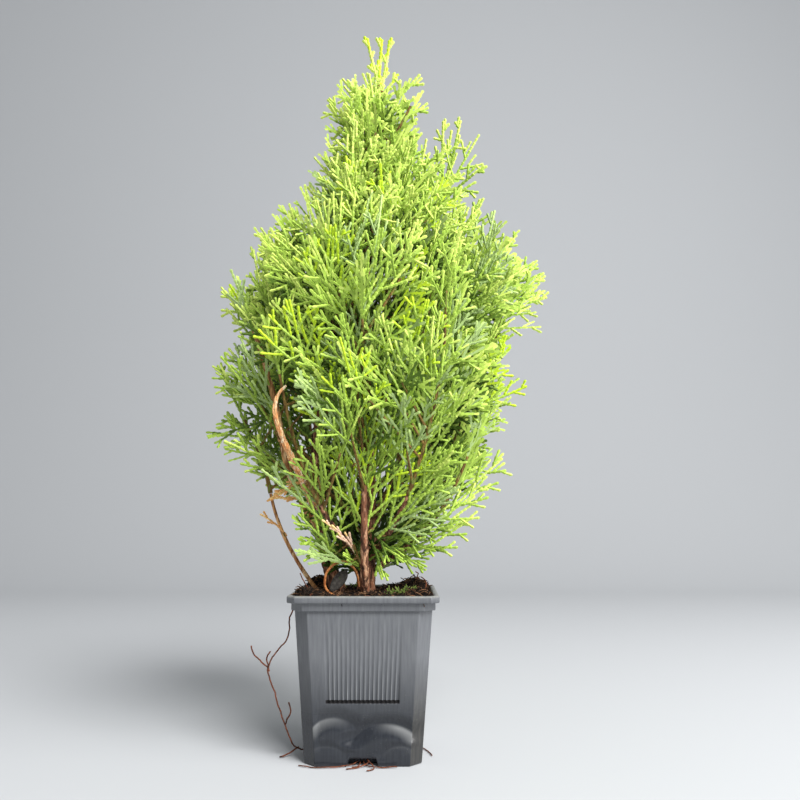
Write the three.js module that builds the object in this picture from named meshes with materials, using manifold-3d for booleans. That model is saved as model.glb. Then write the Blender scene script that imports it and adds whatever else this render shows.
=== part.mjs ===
// A young arborvitae in a square nursery pot, as garden centres sell it. A main trunk and twelve
// side stems rise from its foot, and round them stand masses of flat, fern-like fronds. The frame
// is in millimetres with +Z up. X runs to the right and +Y to the back of the view that the plant
// shows best in, and the origin is the middle of the pot's flat foot.

import * as THREE from "three";
import { mergeVertices } from "three/addons/utils/BufferGeometryUtils.js";
import Module from "manifold-3d";

const wasm = await Module();
wasm.setup();

// The whole object
const GAP = 0.3; // between two pieces that touch
const SOIL_LEVEL = 92; // the flat middle of the soil, where the stems are cut

// The pot: a square with cut corners that widens upwards, under a rim turned out in two steps
const POT_HEIGHT = 97;
const POT_WALL = 1.5;
const POT_FLOOR = 1.6;
const FOOT_WIDTH = 69;
const BODY_WIDTH = 82;
const BAND_WIDTH = 85.5;
const LIP_WIDTH = 90;
const MOUTH_WIDTH = 84;
const FOOT_CHAMFER = 7;
const BODY_CHAMFER = 8;
const BAND_CHAMFER = 7;
const LIP_CHAMFER = 5;
const BAND_LEVEL = 88;
const LIP_LEVEL = 92.6;
const RIM_EDGE = 0.6; // the slope at the edges of the rim's steps

// A drain notch in the middle of each side's foot
const DRAIN_WIDTH = 15;
const DRAIN_HEIGHT = 4.5;
const DRAIN_DEPTH = 7;

// A ribbed panel on each side, deepest at its lower end and running out under the rim
const PANEL_WIDTH = 42;
const PANEL_LOW = 36;
const PANEL_DEPTH = 0.9;
const PANEL_RIBS = 15;
const RIB_FOOT = 1.6; // a rib's width at its foot
const RIB_TOP = 0.15; // how far its edge stays under the wall's face

// The soil's top, from the wall inwards: the share of its width, the level, and how much that varies
const SOIL_HEAP = [
  [0.985, SOIL_LEVEL - 1, 1.5],
  [0.88, SOIL_LEVEL + 1, 4],
  [0.76, SOIL_LEVEL, 0],
];
const SOIL_SEED = 7;

// The crown's reach to the left and to the right at some heights, and its depth as a share of that
const CROWN = [
  { z: 100, left: 34, right: 28 },
  { z: 130, left: 58, right: 50 },
  { z: 160, left: 68, right: 70 },
  { z: 180, left: 95, right: 88 },
  { z: 215, left: 102, right: 105 },
  { z: 260, left: 98, right: 105 },
  { z: 300, left: 99, right: 123 },
  { z: 322, left: 86, right: 120 },
  { z: 350, left: 62, right: 84 },
  { z: 380, left: 42, right: 78 },
  { z: 414, left: 32, right: 68 },
  { z: 430, left: 30, right: 40 },
  { z: 456, left: 18, right: 32 },
  { z: 480, left: 10, right: 18 },
];
const CROWN_DEPTH = 0.9;

// The limbs. Azimuths are in degrees from +X towards +Y, so that 270 faces the viewer.
const TRUNK = { top: 440, lean: 7, bow: 5, butt: 5.4, end: 0.9, flare: 3.6, flareShare: 0.03 };
const LIMB_SIDES = 7;
const TRUNK_STEPS = 15;
const BOUGH_STEPS = 6;
const BOUGH_BOW = 0.14; // how far a bough bows outwards, as a share of its length
const BOUGH_FREE = 0.45; // how far the stem of a bough's mass runs straight on, as a share of it
// A bough starts on the soil, where foot is its distance from the middle, or on another limb, where
// foot is the height on it. Reach and top place its tip, and mass top the end of its mass's stem.
const BOUGHS = [
  // name, azimuth, grows from, foot, reach, top, radius at the foot, at the tip, mass top
  ["left", 186, "soil", 17, 31, 214, 4.6, 2.0, 322],
  ["left_low", 182, "soil", 27, 62, 158, 1.8, 1.2, 206],
  ["left_mid", 198, "left", 134, 56, 190, 2.4, 1.5, 268],
  ["right_leader", 16, "trunk", 134, 42, 262, 3.6, 1.7, 388],
  ["right", 356, "trunk", 124, 56, 190, 3.0, 1.6, 280],
  ["right_low", 336, "trunk", 108, 40, 134, 2.0, 1.3, 180],
  ["front", 270, "soil", 15, 35, 166, 3.2, 1.6, 256],
  ["front_left", 230, "trunk", 114, 42, 150, 2.4, 1.4, 226],
  ["front_right", 308, "trunk", 116, 43, 156, 2.6, 1.5, 238],
  ["back", 96, "trunk", 120, 40, 172, 2.8, 1.5, 264],
  ["back_left", 140, "soil", 18, 44, 160, 2.8, 1.5, 244],
  ["back_right", 50, "trunk", 116, 44, 160, 2.8, 1.5, 246],
];

// Masses that grow straight from the trunk, in rings. Each ring leaves it at one height, z, and its
// stems rise from there and end at a share of the crown's reach.
const RINGS = [
  { name: "skirt", z: 106, count: 4, first: 345, rise: 20, share: 0.56 },
  { name: "low", z: 140, count: 4, first: 30, rise: 36, share: 0.5 },
  { name: "inner", z: 186, count: 4, first: 28, rise: 56, share: 0.6 },
  { name: "middle", z: 228, count: 4, first: 74, rise: 60, share: 0.66 },
  { name: "shoulder", z: 270, count: 4, first: 30, rise: 56, share: 0.66 },
  { name: "upper", z: 310, count: 4, first: 75, rise: 50, share: 0.66 },
  { name: "neck", z: 350, count: 3, first: 40, rise: 42, share: 0.62 },
  { name: "crest", z: 388, count: 3, first: 100, rise: 34, share: 0.6 },
];
const SHOULDER = 336; // above it the rings keep to the trunk's own crown, within this reach
const TRUNK_CROWN_REACH = 52;
const TURN = 7; // degrees by which a ring's mass is turned when its stem meets another limb
const STEM_FREE = 6; // from the trunk's middle, where the limbs part

// The stems of the masses, three-sided, which leave flat and turn up
const STEM_BUTT = 1.5;
const STEM_END = 0.8;
const STEM_STEPS = 4;
const STEM_OUT = 0.6; // where the stem's bend lies, as shares of its run and of its rise
const STEM_UP = 0.34;
const TIP_STEM = 10; // the length of the topmost mass's stem
const STEM_SHARE = 0.8; // a bough's mass has its stem's end at this share of the crown's reach

// The fronds: a rib with pointed sprays that lean forwards, left and right in turn
const FROND_LENGTH = 66;
const FROND_WIDTH = 0.8; // as a share of its length
const FROND_THICKNESS = 0.7;
const FROND_SPACING = 19; // along the stem
const FIRST_FROND = 0.14; // where on the stem the first one stands
const FROND_LEAN = 34; // degrees between the stem and the rib of a frond near its tip
const LOW_LEAN = 24; // how much more the fronds at its foot lean
const LEAN_SPREAD = 16;
const LAST_SPREAD = 12; // the last frond runs on from the stem, to within this
const ROLL_SPREAD = 60; // degrees by which a frond rolls round the stem, out of level
const TURN_SPREAD = 75; // and turns out of the upright plane through the trunk
const TILT_SPREAD = 0.35; // the upward part of its normal
const FROND_ROOT = 2.2; // how far its foot is sunk in the stem
const RIB_WIDTH = 2.4;
const RIB_TAPER = 0.6; // how much narrower it is at the tip
const SPRAYS = 3; // on each side of the rib
const SPRAY_LEAN = 44;
const FIRST_SPRAY = 0.1; // where the first spray leaves the rib, and the pitch, as shares of the rib
const SPRAY_PITCH = 0.26;
const SPRAY_TAPER = 0.75; // how much shorter a spray would be at the rib's tip
const SPRAY_WEB = 0.36; // how far two sprays are grown together, as a share of a spray
const SPRAY_PARTS = [1, 0.8, 0.6, 0.4]; // a spray that leaves its mass's space is cut to a part
const LENGTH_STEP = 0.06; // a frond that leaves it is shortened by this share of its full length
const LEAST_LENGTH = 0.34;
const TRIES = 10; // of which a frond takes the one that fills most
const LEAST_AREA = 220; // of a frond, in square millimetres
const MOST_FRONDS = 5; // on one stem
const LEAST_FRONDS = 3;
const TOP_SIZE = 0.6; // the fronds' size at the plant's tip, against full size low in the crown
const FULL_SIZE_LEVEL = 250;
const CLEARANCE = 0.7; // from a frond to the middle between two stems, and to a limb
const RIM_CLEARANCE = 4; // over the pot

const UP = new THREE.Vector3(0, 0, 1);
const radians = THREE.MathUtils.degToRad;

// Numbers from 0 to 1 that are the same for the same seed
function seeded(seed) {
  let state = seed >>> 0;
  return () => {
    state = (state + 0x6d2b79f5) >>> 0;
    let mixed = Math.imul(state ^ (state >>> 15), 1 | state);
    mixed = (mixed + Math.imul(mixed ^ (mixed >>> 7), 61 | mixed)) ^ mixed;
    return ((mixed ^ (mixed >>> 14)) >>> 0) / 4294967296;
  };
}

// Solids and geometries

function solidOf(geometry) {
  const bare = new THREE.BufferGeometry();
  const loose = geometry.index ? geometry.toNonIndexed() : geometry;
  bare.setAttribute("position", loose.getAttribute("position"));
  const merged = mergeVertices(bare, 1e-4);
  return new wasm.Manifold(
    new wasm.Mesh({
      numProp: 3,
      vertProperties: merged.attributes.position.array,
      triVerts: new Uint32Array(merged.index.array),
    }),
  );
}

function geometryOf(solid) {
  const mesh = solid.getMesh();
  const geometry = new THREE.BufferGeometry();
  geometry.setAttribute("position", new THREE.BufferAttribute(mesh.vertProperties, 3));
  geometry.setIndex(new THREE.BufferAttribute(mesh.triVerts, 1));
  const faceted = geometry.toNonIndexed();
  faceted.computeVertexNormals();
  return faceted;
}

// The largest body of a solid: a cut can leave a scrap beside it
function largestBody(solid) {
  return solid.decompose().reduce((best, body) => (body.volume() > best.volume() ? body : best));
}

// A closed surface through rings of equally many points, with a flat cap on the first and last
function loft(rings) {
  const count = rings[0].length;
  const corners = [];
  const face = (...points) => points.forEach((p) => corners.push(p.x, p.y, p.z));
  rings.slice(1).forEach((upper, i) => {
    const lower = rings[i];
    for (let j = 0; j < count; j++) {
      const k = (j + 1) % count;
      face(lower[j], lower[k], upper[k]);
      face(lower[j], upper[k], upper[j]);
    }
  });
  const first = rings[0];
  const last = rings.at(-1);
  for (let j = 1; j < count - 1; j++) {
    face(first[0], first[j + 1], first[j]);
    face(last[0], last[j], last[j + 1]);
  }
  return new THREE.BufferGeometry().setAttribute("position", new THREE.Float32BufferAttribute(corners, 3));
}

// A tube of varying radius along a curve. A flat foot is cut level, as at the soil.
function taperedTube(curve, steps, sides, radiusAt, flatFoot = false) {
  const rings = [];
  const steep = Math.abs(curve.getTangent(0.5).y) > 0.8;
  const reference = steep ? new THREE.Vector3(1, 0, 0) : new THREE.Vector3(0, 1, 0);
  for (let i = 0; i <= steps; i++) {
    const t = flatFoot ? (i / steps) ** 1.5 : i / steps;
    const along = flatFoot && i === 0 ? UP : curve.getTangent(t);
    const side = reference.clone().addScaledVector(along, -reference.dot(along)).normalize();
    const other = along.clone().cross(side);
    const centre = curve.getPoint(t);
    const ring = [];
    for (let j = 0; j < sides; j++) {
      const turn = (j / sides) * 2 * Math.PI;
      ring.push(
        centre
          .clone()
          .addScaledVector(side, radiusAt(t) * Math.cos(turn))
          .addScaledVector(other, radiusAt(t) * Math.sin(turn)),
      );
    }
    rings.push(ring);
  }
  return loft(rings);
}

// A flat outline, extruded to a plate that is centred on its plane and set at a place
function plate({ outline, origin, along, across }, thickness) {
  const shape = new THREE.Shape(outline.map(([u, v]) => new THREE.Vector2(u, v)));
  const geometry = new THREE.ExtrudeGeometry(shape, { depth: thickness, bevelEnabled: false });
  geometry.translate(0, 0, -thickness / 2);
  const placed = new THREE.Matrix4().makeBasis(along, across, along.clone().cross(across));
  return geometry.applyMatrix4(placed.setPosition(origin));
}

// The pot and its soil

// A square with cut corners at one height, seen from above anticlockwise. A corner's leg is chamfer.
function octagon(width, chamfer, z) {
  const half = width / 2;
  const cut = half - chamfer;
  const eighth = [
    [half, -cut],
    [half, cut],
  ];
  return [0, 1, 2, 3].flatMap((quarter) =>
    eighth.map(([x, y]) => new THREE.Vector3(x, y, z).applyAxisAngle(UP, (quarter * Math.PI) / 2)),
  );
}

// The chamfer that keeps a wall's thickness round the corners of an inner octagon
const innerChamfer = (chamfer, wall) => chamfer - (2 - Math.SQRT2) * wall;

// The wall's outer width at a height
const bodyWidth = (z) => FOOT_WIDTH + ((BODY_WIDTH - FOOT_WIDTH) * z) / BAND_LEVEL;

// Repeats a solid on the pot's four sides
const onFourSides = (solid) => [0, 90, 180, 270].map((turn) => solid.rotate([0, 0, turn]));

// What the ribbed panel takes off the front wall: a wedge that leaves a row of sharp ribs standing
function panelCutter() {
  const half = PANEL_WIDTH / 2;
  const pitch = PANEL_WIDTH / PANEL_RIBS;
  const outline = [[-half, -1], [-half, PANEL_DEPTH]];
  for (let rib = 1; rib < PANEL_RIBS; rib++) {
    const x = rib * pitch - half;
    outline.push([x - RIB_FOOT / 2, PANEL_DEPTH], [x, RIB_TOP], [x + RIB_FOOT / 2, PANEL_DEPTH]);
  }
  outline.push([half, PANEL_DEPTH], [half, -1]);
  const shape = new THREE.Shape(outline.map(([x, y]) => new THREE.Vector2(x, y)));
  const wallLean = Math.atan((BODY_WIDTH - FOOT_WIDTH) / 2 / BAND_LEVEL);
  const height = (BAND_LEVEL - PANEL_LOW) / Math.cos(wallLean);
  const geometry = new THREE.ExtrudeGeometry(shape, { depth: height, bevelEnabled: false });
  // It leans further out than the wall, so that it has left the wall at the rim.
  geometry.rotateX(wallLean + Math.atan(PANEL_DEPTH / height));
  geometry.translate(0, -bodyWidth(PANEL_LOW) / 2, PANEL_LOW);
  return solidOf(geometry);
}

function pot() {
  const mouth = innerChamfer(LIP_CHAMFER, (LIP_WIDTH - MOUTH_WIDTH) / 2);
  const body = solidOf(
    loft([
      octagon(FOOT_WIDTH, FOOT_CHAMFER, 0),
      octagon(BODY_WIDTH, BODY_CHAMFER, BAND_LEVEL),
      octagon(BAND_WIDTH, BAND_CHAMFER, BAND_LEVEL + RIM_EDGE),
      octagon(BAND_WIDTH, BAND_CHAMFER, LIP_LEVEL),
      octagon(LIP_WIDTH, LIP_CHAMFER, LIP_LEVEL + RIM_EDGE),
      octagon(LIP_WIDTH, LIP_CHAMFER, POT_HEIGHT - RIM_EDGE),
      octagon(LIP_WIDTH - 2 * RIM_EDGE, LIP_CHAMFER, POT_HEIGHT),
      octagon(MOUTH_WIDTH, mouth, POT_HEIGHT),
      octagon(BODY_WIDTH - 2 * POT_WALL, innerChamfer(BODY_CHAMFER, POT_WALL), BAND_LEVEL),
      octagon(FOOT_WIDTH - 2 * POT_WALL, innerChamfer(FOOT_CHAMFER, POT_WALL), POT_FLOOR),
    ]),
  );
  const drain = new THREE.BoxGeometry(DRAIN_WIDTH, 2 * DRAIN_DEPTH, 2 * DRAIN_HEIGHT);
  drain.translate(0, -FOOT_WIDTH / 2, 0);
  return wasm.Manifold.difference([body, ...onFourSides(solidOf(drain)), ...onFourSides(panelCutter())]);
}

// The soil fills the pot. It is flat round the stems and heaped towards the walls.
function soil() {
  const around = (width, chamfer, z) =>
    octagon(width - 2 * GAP, innerChamfer(innerChamfer(chamfer, POT_WALL), GAP), z).flatMap((p, i, all) => [
      p,
      p.clone().lerp(all[(i + 1) % all.length], 0.5),
    ]);
  const top = BODY_WIDTH - 2 * POT_WALL;
  const random = seeded(SOIL_SEED);
  const heaped = ([share, level, spread]) =>
    around(top, BODY_CHAMFER, 0).map((p) => p.multiplyScalar(share).setZ(level + spread * random()));
  return solidOf(
    loft([
      around(FOOT_WIDTH - 2 * POT_WALL, FOOT_CHAMFER, POT_FLOOR + GAP),
      around(top, BODY_CHAMFER, BAND_LEVEL),
      ...SOIL_HEAP.map(heaped),
    ]),
  );
}

// The limbs

// A limb holds its centreline and its radius along it.
function makeTrunk() {
  const { top, lean, bow, butt, end, flare, flareShare } = TRUNK;
  const rise = top - SOIL_LEVEL;
  const curve = new THREE.CubicBezierCurve3(
    new THREE.Vector3(0, 0, SOIL_LEVEL),
    new THREE.Vector3(bow, -bow, SOIL_LEVEL + rise / 3),
    new THREE.Vector3(-bow, bow, SOIL_LEVEL + (2 * rise) / 3),
    new THREE.Vector3(lean, 0, top),
  );
  const radiusAt = (t) => end + (butt - end) * (1 - t) + flare * Math.exp(-t / flareShare);
  return { name: "trunk", curve, radiusAt, flatFoot: true, steps: TRUNK_STEPS };
}

// A point at a distance from the pot's middle, in the direction of an azimuth
const polar = (azimuth, reach, z) =>
  new THREE.Vector3(reach * Math.cos(radians(azimuth)), reach * Math.sin(radians(azimuth)), z);

// The share of a limb's curve at which it passes a height
function shareAtHeight(limb, z) {
  let [low, high] = [0, 1];
  for (let i = 0; i < 30; i++) {
    const middle = (low + high) / 2;
    if (limb.curve.getPoint(middle).z < z) low = middle;
    else high = middle;
  }
  return low;
}

function makeBough([name, azimuth, from, foot, reach, top, butt, end, massTop], limbs) {
  const parent = limbs.find((limb) => limb.name === from);
  const start = polar(azimuth, foot, SOIL_LEVEL);
  if (parent) start.copy(parent.curve.getPoint(shareAtHeight(parent, foot)));
  const tip = polar(azimuth, reach, top);
  const bend = start.clone().lerp(tip, 0.5);
  bend.add(polar(azimuth, BOUGH_BOW * start.distanceTo(tip), 0));
  const curve = new THREE.QuadraticBezierCurve3(start, bend, tip);
  const radiusAt = (t) => end + (butt - end) * (1 - t);
  return { name, azimuth, curve, radiusAt, flatFoot: !parent, steps: BOUGH_STEPS, massTop };
}

// The limb's tube, wider all round by a margin
function limbTube(limb, margin = 0) {
  const radiusAt = (t) => limb.radiusAt(t) + margin;
  return solidOf(taperedTube(limb.curve, limb.steps, LIMB_SIDES, radiusAt, limb.flatFoot));
}

// The masses' places

// The crown's reach at a height, in the direction of an azimuth
function crownReach(azimuth, z) {
  const above = CROWN.findIndex((row) => row.z >= z);
  const upper = above < 0 ? CROWN.at(-1) : CROWN[Math.max(above, 1)];
  const lower = CROWN[CROWN.indexOf(upper) - 1];
  const share = THREE.MathUtils.clamp((z - lower.z) / (upper.z - lower.z), 0, 1);
  const left = lower.left + (upper.left - lower.left) * share;
  const right = lower.right + (upper.right - lower.right) * share;
  const depth = (CROWN_DEPTH * (left + right)) / 2;
  const x = Math.cos(radians(azimuth)) / (Math.cos(radians(azimuth)) > 0 ? right : left);
  const y = Math.sin(radians(azimuth)) / depth;
  return 1 / Math.hypot(x, y);
}

function stemCurve(from, to) {
  const bend = new THREE.Vector3(
    from.x + (to.x - from.x) * STEM_OUT,
    from.y + (to.y - from.y) * STEM_OUT,
    from.z + (to.z - from.z) * STEM_UP,
  );
  return new THREE.QuadraticBezierCurve3(from, bend, to);
}

function boughMass({ name, azimuth, curve, massTop }) {
  const tangent = curve.getTangent(1);
  const from = curve.getPoint(1).addScaledVector(tangent, GAP);
  const to = polar(azimuth, STEM_SHARE * crownReach(azimuth, massTop), massTop);
  const bend = from.clone().addScaledVector(tangent, BOUGH_FREE * from.distanceTo(to));
  return { name, curve: new THREE.QuadraticBezierCurve3(from, bend, to) };
}

// A mass of a ring is turned round the trunk until its stem is clear of the other limbs and stems.
function ringMass(ring, i, limbs, placed) {
  const [trunk, ...boughs] = limbs;
  const from = trunk.curve.getPoint(shareAtHeight(trunk, ring.z));
  const top = ring.z + ring.rise;
  for (let turn = 0; ; turn = turn > 0 ? -turn : TURN - turn) {
    const azimuth = ring.first + (360 / ring.count) * i + turn;
    const reach = crownReach(azimuth, top);
    const held = top > SHOULDER ? Math.min(reach, TRUNK_CROWN_REACH) : reach;
    const curve = stemCurve(from, polar(azimuth, held * ring.share, top));
    const points = curve.getPoints(2 * STEM_STEPS).filter((p) => p.distanceTo(from) > STEM_FREE);
    const clear = (line, width) => points.every((p) => distanceTo(line, p) > width + STEM_BUTT + CLEARANCE);
    const free =
      boughs.every((bough) => clear(bough.line, bough.radiusAt(0))) &&
      placed.every((mass) => clear(mass.line, STEM_BUTT));
    if (free) return { name: ring.name + "_" + (i + 1), curve };
  }
}

function tipMass(trunk) {
  const tangent = trunk.curve.getTangent(1);
  const from = trunk.curve.getPoint(1).addScaledVector(tangent, GAP);
  const to = from.clone().addScaledVector(tangent, TIP_STEM);
  return { name: "tip", curve: new THREE.QuadraticBezierCurve3(from, from.clone().lerp(to, 0.5), to) };
}

// The growth rule

// How far along the rib a spray gets while it reaches this far across
const sprayRun = (reach) => Math.abs(reach) / Math.tan(radians(SPRAY_LEAN));

// A frond's outline in its own plane: u along the rib, v across it. Each spray is as long as fits,
// and one that doesn't fit at all is left out.
function frondOutline(length, fits) {
  const rib = (u) => (RIB_WIDTH / 2) * (1 - (RIB_TAPER * u) / length);
  const sprays = (side) => {
    const points = [];
    for (let i = 0; i < SPRAYS; i++) {
      const share = FIRST_SPRAY + SPRAY_PITCH * (i + (side > 0 ? 0.5 : 0));
      const u = share * length;
      const full = (FROND_WIDTH / 2) * length * (1 - SPRAY_TAPER * share);
      const reach = full * (SPRAY_PARTS.find((part) => fits(u, side * part * full)) ?? 0);
      points.push([u, side * (rib(u) + SPRAY_WEB * reach)]);
      if (reach) points.push([u + sprayRun(reach), side * reach]);
    }
    return points;
  };
  const foot = [-FROND_ROOT, RIB_WIDTH / 2];
  return [[foot[0], -foot[1]], ...sprays(-1), [length, 0], ...sprays(1).reverse(), foot];
}

// The distance from a point to a line of straight segments
function distanceTo(line, point) {
  let least = Infinity;
  for (let i = 1; i < line.length; i++) {
    const [from, to] = [line[i - 1], line[i]];
    const [dx, dy, dz] = [to.x - from.x, to.y - from.y, to.z - from.z];
    const [px, py, pz] = [point.x - from.x, point.y - from.y, point.z - from.z];
    const along = (px * dx + py * dy + pz * dz) / (dx * dx + dy * dy + dz * dz);
    const share = Math.min(Math.max(along, 0), 1);
    least = Math.min(least, Math.hypot(px - share * dx, py - share * dy, pz - share * dz));
  }
  return least;
}

// True if a point is nearer its mass's stem than any other, clear of the limbs and the pot, and
// inside the crown's outline
function isInSpace(point, mass, masses, limbs) {
  const own = distanceTo(mass.line, point);
  const azimuth = THREE.MathUtils.radToDeg(Math.atan2(point.y, point.x));
  const overPot = Math.max(Math.abs(point.x), Math.abs(point.y)) < LIP_WIDTH / 2 + RIM_CLEARANCE;
  return (
    !(overPot && point.z < POT_HEIGHT + RIM_CLEARANCE) &&
    point.z <= CROWN.at(-1).z &&
    Math.hypot(point.x, point.y) <= crownReach(azimuth, point.z) &&
    masses.every((other) => other === mass || distanceTo(other.line, point) > own + 2 * CLEARANCE) &&
    limbs.every((limb) => distanceTo(limb.line, point) > limb.radiusAt(0.3) + CLEARANCE)
  );
}

// One try at a frond: it leaves the stem to the left and right in turn, leans up and outwards, and
// is as long as fits. Null if none fits.
function tryFrond(mass, index, attempt, inSpace) {
  const random = seeded(mass.seed * 1000 + index * 20 + attempt);
  const spread = (range) => (random() * 2 - 1) * range;
  const last = index === mass.fronds - 1;
  const t = FIRST_FROND + ((1 - FIRST_FROND) * index) / (mass.fronds - 1);
  const origin = mass.curve.getPoint(t);
  const stem = mass.curve.getTangent(t);
  const level = new THREE.Vector3().crossVectors(stem, UP).normalize();
  const roll = radians((index % 2 ? 180 : 0) + spread(ROLL_SPREAD));
  const aside = level.multiplyScalar(Math.cos(roll)).addScaledVector(UP, Math.abs(Math.sin(roll)));
  const lean = radians(last ? spread(LAST_SPREAD) : FROND_LEAN + LOW_LEAN * (1 - t) + spread(LEAN_SPREAD));
  const along = stem.multiplyScalar(Math.cos(lean)).addScaledVector(aside, Math.sin(lean)).normalize();
  const facing = new THREE.Vector3(-origin.y, origin.x, 0).normalize();
  facing.applyAxisAngle(UP, radians(spread(TURN_SPREAD))).setZ(spread(TILT_SPREAD));
  const normal = facing.addScaledVector(along, -facing.dot(along)).normalize();
  const across = normal.clone().cross(along);
  const holds = (u, v) => inSpace(origin.clone().addScaledVector(along, u).addScaledVector(across, v));
  const ribFits = (full) => [0.3, 0.6, 0.8, 1].every((share) => holds(share * full, 0));
  const sprayFits = (u, v) => [0.5, 1].every((share) => holds(u + share * sprayRun(v), share * v));
  let part = 1;
  while (part > LEAST_LENGTH && !ribFits(part * FROND_LENGTH * mass.size)) part -= LENGTH_STEP;
  if (part <= LEAST_LENGTH) return null;
  const outline = frondOutline(part * FROND_LENGTH * mass.size, sprayFits);
  const area = THREE.ShapeUtils.area(outline.map(([x, y]) => ({ x, y })));
  return { origin, along, across, outline, area };
}

const bladeOf = (frond) => solidOf(plate(frond, FROND_THICKNESS));
const clearOf = (solid, others) => others.every((other) => solid.intersect(other).isEmpty());

function stemSolid(mass) {
  const radiusAt = (t) => STEM_BUTT + (STEM_END - STEM_BUTT) * t;
  return solidOf(taperedTube(mass.curve, STEM_STEPS, 3, radiusAt));
}

// A mass as one solid: its stem, with each frond the largest of its tries that keeps to the mass's
// space, and all cut clear of the limbs
function massSolid(mass, masses, limbs, grownLimbs, solids) {
  const stems = masses.filter((other) => other !== mass).map((other) => other.stem);
  const inSpace = (point) => isInSpace(point, mass, masses, limbs);
  const blades = [];
  for (let index = 0; index < mass.fronds; index++) {
    const tries = Array.from({ length: TRIES }, (_, attempt) => tryFrond(mass, index, attempt, inSpace));
    const fronds = tries.filter((frond) => frond && frond.area > LEAST_AREA);
    fronds.sort((one, other) => other.area - one.area);
    const taken = [grownLimbs, ...solids, ...stems, ...blades];
    const blade = fronds.map(bladeOf).find((solid) => clearOf(solid, taken));
    if (blade) blades.push(blade);
  }
  return largestBody(wasm.Manifold.union([mass.stem, ...blades]).subtract(grownLimbs));
}

// The plant put together

const limbs = [makeTrunk()];
BOUGHS.forEach((row) => limbs.push(makeBough(row, limbs)));
const trunk = limbs[0];

limbs.forEach((limb) => {
  limb.line = limb.curve.getPoints(2 * limb.steps);
});

const masses = [];
function placeMass(mass) {
  const middle = mass.curve.getPoint(0.5).z;
  mass.seed = masses.length + 1;
  mass.line = mass.curve.getPoints(STEM_STEPS);
  const high = THREE.MathUtils.smoothstep(middle, FULL_SIZE_LEVEL, CROWN.at(-1).z);
  mass.size = THREE.MathUtils.lerp(1, TOP_SIZE, high);
  const room = Math.round(mass.curve.getLength() / (FROND_SPACING * mass.size));
  mass.fronds = THREE.MathUtils.clamp(room, LEAST_FRONDS, MOST_FRONDS);
  mass.stem = stemSolid(mass);
  masses.push(mass);
}
limbs.slice(1).forEach((bough) => placeMass(boughMass(bough)));
RINGS.forEach((ring) => {
  for (let i = 0; i < ring.count; i++) placeMass(ringMass(ring, i, limbs, masses));
});
placeMass(tipMass(trunk));

const finish = (color, roughness) => new THREE.MeshStandardMaterial({ color, roughness, metalness: 0 });
const PLASTIC = finish(0x3b3f43, 0.45);
const PEAT = finish(0x33241a, 0.95);
const BARK = finish(0x6e4a36, 0.9);
const GREENS = [finish(0x86b43a, 0.6), finish(0x6f9f3c, 0.6), finish(0x9cc63c, 0.6)];

const plant = new THREE.Group();

function addPiece(name, solid, material) {
  const mesh = new THREE.Mesh(geometryOf(solid), material);
  mesh.name = name;
  plant.add(mesh);
}

addPiece("pot", pot(), PLASTIC);
addPiece("soil", soil(), PEAT);

// Each limb is cut clear of the ones before it.
const grownTubes = [];
limbs.forEach((limb) => {
  const solid = largestBody(wasm.Manifold.difference([limbTube(limb), ...grownTubes]));
  addPiece(limb === trunk ? "trunk" : "bough_" + limb.name, solid, BARK);
  grownTubes.push(limbTube(limb, GAP));
});

const grownLimbs = wasm.Manifold.union(grownTubes);
const solids = [];
masses.forEach((mass, i) => {
  solids.push(massSolid(mass, masses, limbs, grownLimbs, solids));
  addPiece("foliage_" + mass.name, solids[i], GREENS[i % GREENS.length]);
});

export default plant;
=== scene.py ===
# A young arborvitae in a square nursery pot: the finish of every surface. Sizes are in millimetres,
# in the frame of the solids, and become metres as each mesh is made.

import math

import bpy
import numpy as np
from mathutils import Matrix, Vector, noise


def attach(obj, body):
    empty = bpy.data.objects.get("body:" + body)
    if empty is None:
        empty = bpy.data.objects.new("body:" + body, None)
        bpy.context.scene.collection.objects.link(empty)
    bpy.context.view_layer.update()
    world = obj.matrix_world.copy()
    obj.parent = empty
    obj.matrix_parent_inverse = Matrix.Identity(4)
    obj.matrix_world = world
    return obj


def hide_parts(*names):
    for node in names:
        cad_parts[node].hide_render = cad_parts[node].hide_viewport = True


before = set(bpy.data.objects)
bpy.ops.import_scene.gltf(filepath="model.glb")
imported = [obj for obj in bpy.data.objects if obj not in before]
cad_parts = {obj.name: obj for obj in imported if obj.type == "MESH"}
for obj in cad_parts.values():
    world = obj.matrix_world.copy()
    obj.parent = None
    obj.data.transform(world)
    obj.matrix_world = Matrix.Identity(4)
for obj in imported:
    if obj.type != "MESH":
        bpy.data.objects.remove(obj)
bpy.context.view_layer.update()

# The pot. It is thermoformed from thin charcoal plastic: a square with cut corners, wider at the
# top, under a rim turned out in two steps. Each side has a ribbed grip panel that deepens downwards
# and a drain notch at the foot, and the front's two lower corners are buckled.
MM = 0.001
POT_HEIGHT = 97
WALL, FOOT_WALL = 1.5, 4.6  # thicker at the foot, behind the buckles
FLOOR = 1.6
FOOT_WIDTH, FOOT_CHAMFER = 69, 7
BODY_WIDTH, BODY_CHAMFER = 82, 8
BAND_WIDTH, BAND_CHAMFER, BAND_LEVEL = 85.5, 7, 88
LIP_WIDTH, LIP_CHAMFER, LIP_LEVEL = 90, 5, 92.6
MOUTH_WIDTH, MOUTH_CHAMFER = 84, 3.2
PANEL_FOOT_WIDTH, PANEL_TOP_WIDTH, PANEL_LOW, PANEL_DEPTH, RIBS = 43, 47, 36, 1.0, 17
RIB_POINTS = 8  # across one rib and its groove
EDGE = 0.5  # how near the points beside an edge lie, which keeps it crisp
NOTCH_WIDTH, NOTCH_HEIGHT, NOTCH_DEPTH, NOTCH_REACH = 19, 4.5, 7, 9
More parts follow.
